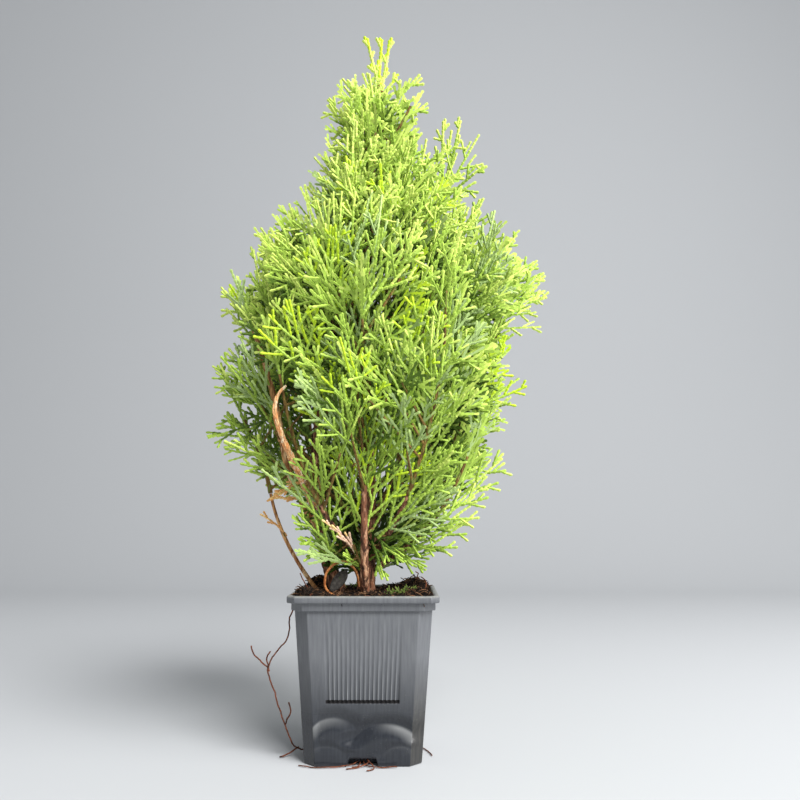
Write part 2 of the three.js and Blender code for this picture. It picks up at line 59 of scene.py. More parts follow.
# The buckles in the front, each an arc over its middle: half width, half height, and depth
BUCKLES = [(-17, 12, 16, 14.4, 2.6), (13, 9, 20, 14, 3.0), (-22, 3, 13, 8, 0.9), (22, 2, 11, 9, 1.2)]


def outward(points, faces):
    """The faces, turned round if the closed surface has them facing in."""
    volume = 0.0
    for face in faces:
        corner = points[face[0]]
        for near, far in zip(face[1:-1], face[2:]):
            volume += corner @ np.cross(points[near], points[far])
    return faces if volume > 0 else [tuple(reversed(face)) for face in faces]


def new_piece(name, points, faces, materials, smooth=True, tints=None):
    """A mesh object at the origin from points in millimetres, and faces, one by one or in arrays."""
    mesh = bpy.data.meshes.new(name)
    blocks = [np.atleast_2d(block) for block in faces]
    sizes = np.concatenate([np.full(len(block), block.shape[1]) for block in blocks])
    corners = np.concatenate([block.ravel() for block in blocks])
    mesh.vertices.add(len(points))
    mesh.vertices.foreach_set("co", (np.asarray(points) * MM).ravel())
    mesh.loops.add(len(corners))
    mesh.loops.foreach_set("vertex_index", corners)
    mesh.polygons.add(len(sizes))
    mesh.polygons.foreach_set("loop_start", np.concatenate([[0], np.cumsum(sizes)[:-1]]))
    for material in materials:
        mesh.materials.append(material)
    if tints is not None:
        mesh.polygons.foreach_set("material_index", tints)
    mesh.update(calc_edges=True)
    mesh.shade_smooth() if smooth else mesh.shade_flat()
    piece = bpy.data.objects.new(name, mesh)
    bpy.context.scene.collection.objects.link(piece)
    return piece


def join_rings(rings, capped=True):
    """Points and faces of a surface through rings of equally many points."""
    count = len(rings[0])
    points = np.concatenate(rings)
    step = np.arange(count)
    faces = []
    for low in range(0, count * (len(rings) - 1), count):
        a, b = low + step, low + (step + 1) % count
        faces += list(zip(a, b, b + count, a + count))
    if capped:
        faces.append(tuple(range(count - 1, -1, -1)))
        faces.append(tuple(range(len(points) - count, len(points))))
    return points, faces


def panel_half(level):
    share = min(max((level - PANEL_LOW) / (BAND_LEVEL - PANEL_LOW), 0), 1)
    return (PANEL_FOOT_WIDTH + (PANEL_TOP_WIDTH - PANEL_FOOT_WIDTH) * share) / 2


def side_places(end, level):
    """Where the points of a side stand: close together over the ribs, and near its two ends."""
    panel = np.linspace(-panel_half(level), panel_half(level), RIBS * RIB_POINTS + 1)
    outer = np.linspace(panel[-1], end - EDGE, 10)[1:]
    return np.concatenate([[-end], -outer[::-1], panel, outer, [end]])


def smooth_step(low, high, value):
    share = np.clip((value - low) / (high - low), 0, 1)
    return share * share * (3 - 2 * share)


def rib_relief(x, level):
    """How deep the grip panel lies at a place of a side."""
    deep = PANEL_DEPTH * (BAND_LEVEL - level) / (BAND_LEVEL - PANEL_LOW)
    if not PANEL_LOW <= level <= BAND_LEVEL:
        return np.zeros_like(x)
    half = panel_half(level)
    wave = np.cos(math.pi * (x / half + 1) * RIBS)
    inside = smooth_step(half, half - 0.6, np.abs(x))
    return deep * inside * (0.2 + 0.8 * (0.5 - 0.5 * wave) ** 0.6)


def buckle_depth(x, level):
    """How far the thin plastic is pushed in at a place of the front: down to the arc, then out again."""
    depth = np.zeros_like(x)
    for middle_x, middle_z, wide, high, deep in BUCKLES:
        up = (level - middle_z) / high
        far = np.hypot((x - middle_x) / wide, up)
        above = smooth_step(1.6, 1, far)
        below = np.clip((far - 0.25) / 0.75, 0, 1) ** 2
        depth = np.maximum(depth, deep * np.minimum(above, below) * smooth_step(0, 0.5, up))
    return depth


def buckle_highlight_share(points):
    """How pale each point is painted: a painted highlight in a band under each buckle's arc."""
    x, y, z = points.T
    pale = np.zeros_like(x)
    for middle_x, middle_z, wide, high, deep in BUCKLES:
        up = (z - middle_z) / high
        far = np.hypot((x - middle_x) / wide, up)
        under = np.clip((far - 0.62) / 0.36, 0, 1) * smooth_step(1.08, 0.98, far)
        pale = np.maximum(pale, 0.6 * (deep / 3) ** 2 * under * smooth_step(0.05, 0.4, up))
    pale *= smooth_step(4, 25, np.abs(x))  # they are strongest at the pot's corners
    return pale * ((y < 0) & (np.abs(x) < 27.6 + 0.0625 * z))


def pot_ring(width, chamfer, level, relief=False, notched=False):
    """One level of the pot, anticlockwise from the left end of its front."""
    end = width / 2 - chamfer
    x = side_places(end, level)
    ring = []
    for quarter in range(4):
        y = np.full_like(x, -width / 2)
        z = np.full_like(x, float(level))
        across = np.array([EDGE, chamfer / 2, chamfer - EDGE])
        corner_y = across - width / 2
        if relief:
            y += rib_relief(x, level)
        if relief and quarter == 0:
            pushed = buckle_depth(x, level) * smooth_step(-end - 0.1, 4 - end, x)
            y += pushed
            corner_y += pushed[-1] * (1 - across / chamfer)
        if notched and level < NOTCH_REACH:
            rise = NOTCH_HEIGHT * smooth_step(NOTCH_WIDTH / 2, NOTCH_WIDTH / 2 - 2, np.abs(x))
            z += rise * (1 - level / NOTCH_REACH)
        side = np.stack([np.append(x, end + across), np.append(y, corner_y)], axis=1)
        z = np.append(z, np.full(3, float(level)))
        turn = quarter * math.pi / 2
        turned = side @ np.array([[math.cos(turn), math.sin(turn)], [-math.sin(turn), math.cos(turn)]])
        ring.append(np.column_stack([turned, z]))
    return np.concatenate(ring)


def body_ring(level):
    share = level / BAND_LEVEL
    width = FOOT_WIDTH + (BODY_WIDTH - FOOT_WIDTH) * share
    chamfer = FOOT_CHAMFER + (BODY_CHAMFER - FOOT_CHAMFER) * share
    return pot_ring(width, chamfer, level, relief=True, notched=True)


body_levels = [1, 2.4, 4, 6, *np.arange(8, 35, 0.7), 35.6, 36, 36.5, 37.5, *np.arange(40, 87, 3), 87.4]
pot_rings = [
    pot_ring(FOOT_WIDTH - 2 * NOTCH_DEPTH, FOOT_CHAMFER - 3, 0),
    pot_ring(FOOT_WIDTH - 1.4, FOOT_CHAMFER, 0, notched=True),
    pot_ring(FOOT_WIDTH - 0.4, FOOT_CHAMFER, 0.3, notched=True),
    *[body_ring(level) for level in body_levels],
    pot_ring(BODY_WIDTH, BODY_CHAMFER, BAND_LEVEL - 0.2),
    pot_ring(BODY_WIDTH + 0.5, BODY_CHAMFER, BAND_LEVEL),
    pot_ring(BAND_WIDTH - 0.6, BAND_CHAMFER, BAND_LEVEL + 0.2),
    pot_ring(BAND_WIDTH, BAND_CHAMFER, BAND_LEVEL + 0.7),
    pot_ring(BAND_WIDTH, BAND_CHAMFER, LIP_LEVEL - 0.3),
    pot_ring(BAND_WIDTH + 0.6, BAND_CHAMFER, LIP_LEVEL),
    pot_ring(LIP_WIDTH - 0.8, LIP_CHAMFER, LIP_LEVEL + 0.2),
    pot_ring(LIP_WIDTH, LIP_CHAMFER, LIP_LEVEL + 0.8),
    pot_ring(LIP_WIDTH, LIP_CHAMFER, POT_HEIGHT - 0.9),
    pot_ring(LIP_WIDTH - 0.6, LIP_CHAMFER, POT_HEIGHT - 0.2),
    pot_ring(LIP_WIDTH - 1.6, LIP_CHAMFER, POT_HEIGHT),
    pot_ring(MOUTH_WIDTH + 1, MOUTH_CHAMFER, POT_HEIGHT),
    pot_ring(MOUTH_WIDTH, MOUTH_CHAMFER, POT_HEIGHT - 0.6),
    pot_ring(BODY_WIDTH - 2 * WALL, BODY_CHAMFER - 0.9, BAND_LEVEL),
    pot_ring(FOOT_WIDTH - 2 * FOOT_WALL, FOOT_CHAMFER - 0.9, NOTCH_HEIGHT + FLOOR),
]


def surface(name, roughness):
    """A new material, with its node tree and its Principled shader."""
    material = bpy.data.materials.new(name)
    material.use_nodes = True
    shader = material.node_tree.nodes["Principled BSDF"]
    shader.inputs["Roughness"].default_value = roughness
    return material, material.node_tree, shader


def colour(red, green, blue):
    """A colour as seen on a screen, 0 to 255, as Blender's linear one."""
    linear = [(v / 255 / 12.92 if v < 10 else ((v / 255 + 0.055) / 1.055) ** 2.4) for v in (red, green, blue)]
    return (*linear, 1)


def wired(tree, kind, inputs, **settings):
    """A new node's outputs. Each of its inputs is a value, or another node's output."""
    node = tree.nodes.new(kind)
    for name, value in settings.items():
        setattr(node, name, value)
    for name, value in inputs.items():
        if isinstance(value, bpy.types.NodeSocket):
            tree.links.new(value, node.inputs[name])
        else:
            node.inputs[name].default_value = value
    return node.outputs


def noise_share(tree, scale, low, high, stretch=(1, 1, 1), detail=4):
    """A noise on the object's own coordinates, spread from 0 below low to 1 above high."""
    place = wired(tree, "ShaderNodeTexCoord", {})["Object"]
    place = wired(tree, "ShaderNodeMapping", {"Vector": place, "Scale": stretch})["Vector"]
    cloud = wired(tree, "ShaderNodeTexNoise", {"Vector": place, "Scale": scale, "Detail": detail})["Fac"]
    return wired(tree, "ShaderNodeMapRange", {"Value": cloud, "From Min": low, "From Max": high})["Result"]


def blended(tree, share, below, above):
    """A colour that goes from one to another with a share. Each is a screen colour or a socket."""
    ends = [end if isinstance(end, bpy.types.NodeSocket) else colour(*end) for end in (below, above)]
    return wired(tree, "ShaderNodeMix", {"Factor": share, 6: ends[0], 7: ends[1]}, data_type="RGBA")[2]


def relief(tree, shader, height, strength, distance):
    bump = {"Height": height, "Strength": strength, "Distance": distance * MM}
    tree.links.new(wired(tree, "ShaderNodeBump", bump)["Normal"], shader.inputs["Normal"])


def spread_roughness(tree, shader, share, smooth, rough):
    limits = wired(tree, "ShaderNodeMapRange", {"Value": share, "To Min": smooth, "To Max": rough})
    tree.links.new(limits["Result"], shader.inputs["Roughness"])


def height_share(tree, low, high):
    """How far up a place is, 0 at the low level and 1 at the high one."""
    place = wired(tree, "ShaderNodeTexCoord", {})["Object"]
    level = wired(tree, "ShaderNodeSeparateXYZ", {"Vector": place})["Z"]
    limits = {"Value": level, "From Min": low * MM, "From Max": high * MM}
    return wired(tree, "ShaderNodeMapRange", limits)["Result"]


def both(tree, one, other):
    """The product of two shares."""
    return wired(tree, "ShaderNodeMath", {0: one, 1: other}, operation="MULTIPLY")[0]


def mottled(name, roughness, specks, dark, light):
    """A material in two colours, mixed by a noise: its scale, and its limits."""
    material, tree, shader = surface(name, roughness)
    tree.links.new(blended(tree, noise_share(tree, *specks), dark, light), shader.inputs["Base Color"])
    return material, tree, shader


def plastic_finish(name, dark, light):
    """Charcoal plastic with fine drawn streaks, dust on the upper wall with painted shade leaving the lower
    wall darker, a painted highlight under the buckles, and a worn, paler lip.
    """
    material, tree, shader = surface(name, 0.36)
    streaks = noise_share(tree, 900, 0.3, 0.75, stretch=(1, 1, 0.02))
    # Paler from 24 mm up: partly dust, partly painted shade that keeps the lower wall darker.
    dust_and_foot_shade = height_share(tree, 24, 62)
    grit = both(tree, noise_share(tree, 1500, 0.64, 0.74), noise_share(tree, 60, 0.45, 0.8))
    edge = height_share(tree, POT_HEIGHT - 1.4, POT_HEIGHT - 0.2)
    worn = both(tree, edge, noise_share(tree, 500, 0.1, 0.6))
    base = blended(tree, streaks, dark, light)
    dusty_and_shaded = blended(tree, dust_and_foot_shade, base, blended(tree, streaks, (92, 94, 98), (108, 110, 113)))
    colour_so_far = blended(tree, grit, dusty_and_shaded, (126, 124, 120))
    # The pale crescents under the buckles' arcs: a painted highlight.
    buckle_highlight = wired(tree, "ShaderNodeAttribute", {}, attribute_name="buckle_highlight")["Fac"]
    colour_so_far = blended(tree, buckle_highlight, colour_so_far, (146, 147, 146))
    tree.links.new(blended(tree, worn, colour_so_far, (138, 138, 134)), shader.inputs["Base Color"])
    spread_roughness(tree, shader, dust_and_foot_shade, 0.24, 0.46)
    return material


def pot_tints(per_ring):
    """Which faces are plain plastic, a rib's crest with a painted highlight and some wear, the foot of a
    panel in painted shade, the lip, or the front's right chamfer with a painted highlight.
    """
    crest = np.zeros(per_ring // 4, dtype=int)
    first = len(side_places(30, 0)) // 2 - RIBS * RIB_POINTS // 2
    # Two faces along each rib's crest are much paler: a painted highlight, with some wear.
    for rib in range(1, RIBS):
        crest[first + rib * RIB_POINTS - 1 : first + rib * RIB_POINTS + 1] = 1
    panel = np.zeros_like(crest)
    panel[first : first + RIBS * RIB_POINTS] = 2
    tints = []
    for lower, upper in zip(pot_rings, pot_rings[1:]):
        middle = (np.median(lower[:, 2]) + np.median(upper[:, 2])) / 2
        row = np.zeros_like(crest)
        # Rows at the panel's foot, just over its ledge, take painted shade.
        if PANEL_LOW - 0.5 < middle < PANEL_LOW + 1.2:
            row = panel
        elif PANEL_LOW < middle < BAND_LEVEL - 4:
            row = crest
        elif middle > LIP_LEVEL:
            row = row + 3
        level_tints = np.tile(row, 4)
        # The front's right chamfer below the band is painted paler: a painted highlight.
        if middle < BAND_LEVEL:
            level_tints[per_ring // 4 - 4 : per_ring // 4] = 4
        tints.append(level_tints)
    return np.concatenate(tints + [[0, 0]])


# A near-black, matt finish: painted shade at the foot of each grip panel.
panel_foot_shade, _, panel_foot_shade_shader = mottled("panel_foot_painted_shade", 0.95, (900, 0.3, 0.7), (22, 22, 24), (40, 38, 38))
panel_foot_shade_shader.inputs["Specular IOR Level"].default_value = 0.1
plastics = [
    plastic_finish("charcoal_plastic", (34, 37, 43), (45, 48, 54)),
    # The ribs' crests: a painted highlight, with some wear.
    plastic_finish("rib_crest_highlight_and_wear", (104, 106, 110), (140, 141, 142)),
    panel_foot_shade,
    plastic_finish("worn_lip", (92, 95, 98), (112, 114, 115)),
    # The front's right chamfer: a painted highlight.
    plastic_finish("right_chamfer_highlight", (44, 44, 45), (68, 67, 64)),
]
pot_points, pot_faces = join_rings(pot_rings)
pot_faces = outward(pot_points, pot_faces)
pot = new_piece("pot_shell", pot_points, pot_faces, plastics, tints=pot_tints(len(pot_rings[0])))
# Each point's share of the painted highlight under the buckles.
pot.data.attributes.new("buckle_highlight", "FLOAT", "POINT").data.foreach_set("value", buckle_highlight_share(pot_points))
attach(pot, "root")
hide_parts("pot")

# The soil. It is dark peat with crumbs, bark chips and fibres, heaped a little against the walls,
# poured in loose and settled by watering. It fills the pot to just under the lip.
SOIL_LEVEL, SOIL_HEAP = 92, 2.4
SOIL_LUMPS = [(-35, -33, 9, 6), (34, -30, 9, 5), (-31, 31, 11, 9), (31, 32, 11, 7), (8, -38, 12, 2)]
SOIL_ROUGHNESS = 1.7
SOIL_RINGS = 30
CRUMBS = 4800
CRUMB_SIZE = (0.35, 1.5)
FIBRES = 900
FIBRE_LENGTH = (2.5, 8)


def soil_height(x, y):
    height = SOIL_LEVEL + SOIL_HEAP + SOIL_ROUGHNESS * noise.fractal(Vector((x, y, 0)) * 0.17, 0.8, 2.0, 4)
    for middle_x, middle_y, wide, high in SOIL_LUMPS:
        height += high * math.exp(-((x - middle_x) ** 2 + (y - middle_y) ** 2) / wide**2)
    return min(height, POT_HEIGHT + 5)


def soil_ring(share):
    ring = pot_ring((MOUTH_WIDTH - 1.4) * share, MOUTH_CHAMFER * share + 1, SOIL_LEVEL)[::3]
    for point in ring:
        point[2] = soil_height(point[0], point[1]) - 2.2 * smooth_step(0.9, 1, share)
        if share > 0.99:
            point[2] = min(point[2], POT_HEIGHT - 1)
    return ring


def peat_finish(name, dark, light):
    material, tree, shader = mottled(name, 0.95, (520, 0.35, 0.7), dark, light)
    relief(tree, shader, noise_share(tree, 1500, 0.2, 0.8), 0.7, 0.5)
    shader.inputs["Specular IOR Level"].default_value = 0.25
    return material


def settings_of(tree, sizes):
    """Adds a geometry input and named sizes to a node group. Returns the sizes' identifiers."""
    tree.interface.new_socket("Geometry", in_out="INPUT", socket_type="NodeSocketGeometry")
    tree.interface.new_socket("Geometry", in_out="OUTPUT", socket_type="NodeSocketGeometry")
    kinds = {int: "NodeSocketInt", float: "NodeSocketFloat"}
    return {
        name: tree.interface.new_socket(name, in_out="INPUT", socket_type=kinds[type(value)]).identifier
        for name, value in sizes.items()
    }


def grown(source, name, tree, identifiers, sizes):
    """The source object's mesh or curve, run through a node group with these sizes, as a plain mesh."""
    modifier = source.modifiers.new(name, "NODES")
    modifier.node_group = tree
    for size, value in sizes.items():
        modifier[identifiers[size]] = value
    bpy.context.view_layer.update()
    evaluated = source.evaluated_get(bpy.context.evaluated_depsgraph_get())
    mesh = bpy.data.meshes.new_from_object(evaluated)
    mesh.name = name
    bpy.data.objects.remove(source)
    piece = bpy.data.objects.new(name, mesh)
    bpy.context.scene.collection.objects.link(piece)
    return piece


def shake(tree, scale):
    """A noise over the places, from -0.5 to 0.5 in each direction."""
    cloud = wired(tree, "ShaderNodeTexNoise", {"Scale": scale})["Color"]
    return wired(tree, "ShaderNodeVectorMath", {0: cloud, 1: (0.5, 0.5, 0.5)}, operation="SUBTRACT")["Vector"]


def put_out(tree, geometry, material):
    """Gives what a node group has made its material, and ends the group."""
    finish = {"Geometry": geometry, "Material": material}
    wired(tree, "NodeGroupOutput", {"Geometry": wired(tree, "GeometryNodeSetMaterial", finish)["Geometry"]})


def scatter_tree(name, sizes, material, thread=False):
    """A node group that strews crumbs, or threads, over a surface."""
    tree = bpy.data.node_groups.new(name, "GeometryNodeTree")
    identifiers = settings_of(tree, sizes)
    inputs = wired(tree, "NodeGroupInput", {})
    seed = inputs["Seed"]
    spots = {"Mesh": inputs["Geometry"], "Density": inputs["Density"], "Seed": seed}
    spots = wired(tree, "GeometryNodeDistributePointsOnFaces", spots)["Points"]
    if thread:
        line = {"Resolution": 4, "Start": (-0.5, 0, 0), "Middle": (0, 0.25, 0.35), "End": (0.5, 0, 0.1)}
        line = wired(tree, "GeometryNodeCurveQuadraticBezier", line)[0]
        section = wired(tree, "GeometryNodeCurvePrimitiveCircle", {"Resolution": 3, "Radius": 0.04})[0]
        tube = {"Curve": line, "Profile Curve": section, "Fill Caps": True}
        shape = wired(tree, "GeometryNodeCurveToMesh", tube)["Mesh"]
    else:
        crumb = wired(tree, "GeometryNodeMeshIcoSphere", {"Radius": 1, "Subdivisions": 1})["Mesh"]
        uneven = {"Geometry": crumb, "Offset": shake(tree, 1.4)}
        shape = wired(tree, "GeometryNodeSetPosition", uneven)["Geometry"]
    turns = (1.2, 1.2, 2 * math.pi) if thread else (2 * math.pi,) * 3
    turn = {"Max": turns, "Seed": seed}
    turn = wired(tree, "FunctionNodeRandomValue", turn, data_type="FLOAT_VECTOR")["Value"]
    size = {2: inputs["Smallest"], 3: inputs["Largest"], "Seed": seed}
    size = wired(tree, "FunctionNodeRandomValue", size)[1]
    placed = {"Points": spots, "Instance": shape, "Rotation": turn, "Scale": size}
    placed = wired(tree, "GeometryNodeInstanceOnPoints", placed)["Instances"]
    put_out(tree, wired(tree, "GeometryNodeRealizeInstances", {"Geometry": placed})["Geometry"], material)
    return tree, identifiers


def strewn(name, surface_piece, count, size, seed, material, area, thread=False):
    """Crumbs or threads, strewn over a copy of a surface."""
    sizes = {
        "Density": count / (area * MM * MM),
        "Seed": seed,
        "Smallest": size[0] * MM,
        "Largest": size[1] * MM,
    }
    tree, identifiers = scatter_tree(name, sizes, material, thread)
    source = surface_piece.copy()
    source.data = surface_piece.data.copy()
    bpy.context.scene.collection.objects.link(source)
    piece = grown(source, name, tree, identifiers, sizes)
    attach(piece, "root")
    return piece


shares = np.linspace(1, 0.02, SOIL_RINGS)
top_rings = [soil_ring(share) for share in shares]
soil_walls = [
    pot_ring(FOOT_WIDTH - 2 * FOOT_WALL - 1, FOOT_CHAMFER, NOTCH_HEIGHT + FLOOR + 0.4)[::3],
    pot_ring(BODY_WIDTH - 2 * WALL - 1, BODY_CHAMFER, BAND_LEVEL - 1)[::3],
]
soil_points, soil_faces = join_rings(soil_walls + top_rings)
peat = peat_finish("peat", (24, 17, 13), (58, 40, 29))
soil = new_piece("peat_bed", soil_points, outward(soil_points, soil_faces), [peat])
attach(soil, "root")
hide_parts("soil")

top_points, top_faces = join_rings(top_rings, capped=False)
soil_top = new_piece("soil_top", top_points, top_faces, [peat])
top_area = MOUTH_WIDTH**2
crumb_brown = peat_finish("crumb_brown", (12, 8, 6), (31, 22, 15))
fibre_brown = peat_finish("fibre_brown", (66, 42, 28), (138, 102, 72))
fibre_dark = peat_finish("fibre_dark", (26, 19, 15), (58, 40, 29))
strewn("peat_crumbs", soil_top, CRUMBS, CRUMB_SIZE, 3, crumb_brown, top_area)
strewn("peat_fibres", soil_top, FIBRES, FIBRE_LENGTH, 5, fibre_brown, top_area, thread=True)
strewn("peat_dark_fibres", soil_top, 2 * FIBRES, FIBRE_LENGTH, 8, fibre_dark, top_area, thread=True)
bpy.data.objects.remove(soil_top)

# The loose things at the soil and the foot. A flat grey chip leans on the left stem, with a curled
# dead twig round it. Fine reddish roots have grown out of the drain notches and over the rim.
CHIP = {"middle": (-16.5, -15, 103.5), "half": (8.4, 3.6, 1.3), "lean": 36}
# The lines' corners, then their thickness and how far they wander
CURLED_TWIG = [
    (-4, -13, 100), (-5, -14, 107), (-8, -17, 112.5), (-13, -20, 115.5), (-19, -22, 114), (-23.5, -22, 109),
    (-24.5, -22, 102), (-21.5, -22, 97), (-16, -21, 95),
]
RIM_ROOTS = [
    [(-28, -36, 94), (-30, -39, 98), (-31, -41, 97), (-32, -42, 94)],
    [(-34, -22, 98), (-38, -24, 106), (-39, -25, 109)], [(-30, 28, 100), (-28, 26, 106), (-24, 25, 110)],
    [(36, -20, 96), (38, -16, 103), (35, -12, 106)], [(22, -36, 94), (28, -38, 97), (36, -38, 95)],
    [(-6, -36, 94), (2, -39, 96.5), (10, -38, 94)], [(30, 30, 98), (34, 28, 105), (32, 24, 107)],
]
HANGING_ROOTS = [
    [(-31, 3, 2), (-36, 0, 1), (-39, -10, 3), (-43, -17, 9), (-49, -20, 24), (-54, -22, 40),
     (-58, -22, 53), (-52, -23, 63), (-46, -25, 72), (-45, -27, 82), (-43, -28, 87)],
    [(-58, -22, 53), (-62, -23, 57), (-66, -24, 60), (-68, -24, 66)],
    [(-57, -22, 51), (-59, -20, 58), (-57, -19, 62)],
    [(-47, -19, 20), (-44, -21, 27), (-45, -22, 33)], [(-40, -12, 5), (-45, -14, 2), (-50, -18, 0.8)],
]
FOOT_ROOTS = [
    [(-2, -28, 3), (-5, -33, 1.5), (-14, -37, 0.8), (-26, -38, 0.8), (-37, -34, 0.8)],
    [(0, -28, 3), (2, -34, 1.2), (9, -38, 0.8), (20, -37, 0.8)],
    [(2, -28, 3), (3, -34, 2), (-3, -38, 0.8), (-9, -41, 0.8)],
    [(1, -28, 4), (4, -35, 3), (7, -40, 0.8), (3, -44, 0.8)], [(-1, -28, 3), (-2, -35, 1), (-6, -37, 0.8)],
    [(28, 2, 2), (35, 3, 0.8), (39, -5, 0.8), (41, -14, 0.8)], [(3, 28, 2), (5, 35, 0.8), (-4, 39, 0.8)],
]


def strand_tree(name, sizes, material):
    """A node group that turns lines into round, tapering strands that wander a little."""
    tree = bpy.data.node_groups.new(name, "GeometryNodeTree")
    identifiers = settings_of(tree, sizes)
    inputs = wired(tree, "NodeGroupInput", {})
    curve = wired(tree, "GeometryNodeMeshToCurve", {"Mesh": inputs["Geometry"]})["Curve"]
    curve = wired(tree, "GeometryNodeCurveSplineType", {"Curve": curve}, spline_type="CATMULL_ROM")["Curve"]
    even = {"Curve": curve, "Length": inputs["Step"]}
    curve = wired(tree, "GeometryNodeResampleCurve", even, mode="LENGTH")["Curve"]
    offset = {0: shake(tree, 160), "Scale": inputs["Wander"]}
    offset = wired(tree, "ShaderNodeVectorMath", offset, operation="SCALE")["Vector"]
    curve = wired(tree, "GeometryNodeSetPosition", {"Geometry": curve, "Offset": offset})["Geometry"]
    along = wired(tree, "GeometryNodeSplineParameter", {})["Factor"]
    taper = wired(tree, "ShaderNodeMapRange", {"Value": along, "To Min": 1, "To Max": 0.4})["Result"]
    curve = wired(tree, "GeometryNodeSetCurveRadius", {"Curve": curve, "Radius": taper})["Curve"]
    section = {"Resolution": 7, "Radius": inputs["Radius"]}
    section = wired(tree, "GeometryNodeCurvePrimitiveCircle", section)["Curve"]
    tube = {"Curve": curve, "Profile Curve": section, "Fill Caps": True}
    put_out(tree, wired(tree, "GeometryNodeCurveToMesh", tube)["Mesh"], material)
    return tree, identifiers


def strands(name, lines, thickness, wander, material):
    """Round strands along lines of points."""
    sizes = {"Step": 1.2 * MM, "Wander": wander * MM, "Radius": thickness / 2 * MM}
    tree, identifiers = strand_tree(name, sizes, material)
    points = [Vector(point) * MM for line in lines for point in line]
    ends = np.cumsum([len(line) for line in lines])
    edges = [(i - 1, i) for i in range(1, len(points)) if i not in ends]
    mesh = bpy.data.meshes.new(name + "_lines")
    mesh.from_pydata(points, edges, [])
    source = bpy.data.objects.new(name + "_lines", mesh)
    bpy.context.scene.collection.objects.link(source)
    piece = grown(source, name, tree, identifiers, sizes)
    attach(piece, "root")


def rounded_chip(middle, half, lean):
    """A flat, water-worn chip on its edge, leaning a little to the right."""
    turn = math.radians(lean)
    up = Vector((math.sin(turn), 0.1, math.cos(turn))).normalized()
    flat = Vector((0.25, -1, 0.1)).normalized()
    side = up.cross(flat).normalized()
    rings = []
    for level in np.linspace(-0.98, 0.98, 15):
        ring = []
        for angle in np.linspace(0, 2 * math.pi, 20, endpoint=False):
            wide = math.sqrt(1 - level * level) * (1 + 0.12 * math.sin(2.3 * angle + 3 * level))
            place = up * level * half[0] + side * math.cos(angle) * wide * half[1]
            ring.append(Vector(middle) + place + flat * math.sin(angle) * wide * half[2])
        rings.append(np.array(ring))
    return join_rings(rings)


root_red = peat_finish("root_red", (66, 38, 27), (142, 82, 56))
dead_twig = peat_finish("dead_twig", (150, 86, 44), (214, 146, 88))
chip_grey = peat_finish("chip_grey", (58, 55, 52), (92, 88, 82))
chip_points, chip_faces = rounded_chip(CHIP["middle"], CHIP["half"], CHIP["lean"])
chip = new_piece("grey_chip", chip_points, outward(chip_points, chip_faces), [chip_grey])
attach(chip, "root")
strands("curled_twig", [CURLED_TWIG], 1.6, 0.9, dead_twig)
strands("rim_roots", RIM_ROOTS, 0.7, 2.0, root_red)
strands("hanging_roots", HANGING_ROOTS, 0.9, 2.4, root_red)
strands("foot_roots", FOOT_ROOTS, 0.7, 1.2, root_red)

# The trunk and the boughs. They are woody stems in reddish-brown bark that splits into long, thin
# flakes. The trunk stands in the soil, and the boughs grow from it, from each other or from the
# soil beside it.
TRUNK = {"top": 440, "lean": 7, "bow": 5, "butt": 5.4, "end": 0.9, "flare": 1.6, "flare_share": 0.03}
BOUGH_BOW = 0.14
# Name, azimuth, grows from, its foot's distance or height, reach, top, radius at foot and tip, and
# the height of its leafy stem's end
BOUGHS = [
    ("left", 186, "soil", 17, 31, 214, 4.6, 2.0, 322),
    ("left_low", 182, "soil", 27, 62, 158, 1.8, 1.2, 206),
    ("left_mid", 198, "left", 134, 56, 190, 2.4, 1.5, 268),
    ("right_leader", 16, "trunk", 134, 42, 262, 3.6, 1.7, 388),
    ("right", 356, "trunk", 124, 56, 190, 3.0, 1.6, 280),
    ("right_low", 336, "trunk", 108, 40, 134, 2.0, 1.3, 180),
    ("front", 270, "soil", 15, 35, 166, 3.2, 1.6, 256),
    ("front_left", 230, "trunk", 114, 42, 150, 2.4, 1.4, 226),
    ("front_right", 308, "trunk", 116, 43, 156, 2.6, 1.5, 238),
    ("back", 96, "trunk", 120, 40, 172, 2.8, 1.5, 264),
    ("back_left", 140, "soil", 18, 44, 160, 2.8, 1.5, 244),
    ("back_right", 50, "trunk", 116, 44, 160, 2.8, 1.5, 246),
]
LIMB_SIDES = 30
LIMB_STEP = 0.9
BARK_DEPTH = 0.75
BARK_PITCH = 0.32  # how often the bark splits round a limb, each millimetre
BARK_RUN = 0.035  # and along it
FULL_BARK_RADIUS = 3.2  # a thinner limb has shallower flakes
CORE, THIN_CORES = 0.97, {"left_low": 0.8}  # the wood inside the flakes, as a share of the radius


def vector(*parts):
    return np.array(parts, dtype=float)


def unit(v):
    return v / np.maximum(np.linalg.norm(v, axis=-1, keepdims=True), 1e-12)


def bezier(controls, t):
    """Points of a Bezier curve at shares t."""
    rows = [np.asarray(c)[None, :] * np.ones((np.size(t), 1)) for c in controls]
    share = np.reshape(t, (-1, 1))
    while len(rows) > 1:
        rows = [a + (b - a) * share for a, b in zip(rows, rows[1:])]
    return rows[0]


def curve_length(controls, parts=60):
    """The length of a Bezier curve, measured from point to point."""
    return np.linalg.norm(np.diff(bezier(controls, np.linspace(0, 1, parts)), axis=0), axis=1).sum()


def tangent(controls, t):
    steps = [np.asarray(b) - np.asarray(a) for a, b in zip(controls, controls[1:])]
    return unit(bezier(steps, t))


def polar(azimuth, reach, z):
    return vector(reach * math.cos(math.radians(azimuth)), reach * math.sin(math.radians(azimuth)), z)


def share_at_height(controls, z):
    low, high = 0.0, 1.0
    for _ in range(30):
        middle = (low + high) / 2
        low, high = (middle, high) if bezier(controls, middle)[0][2] < z else (low, middle)
    return low


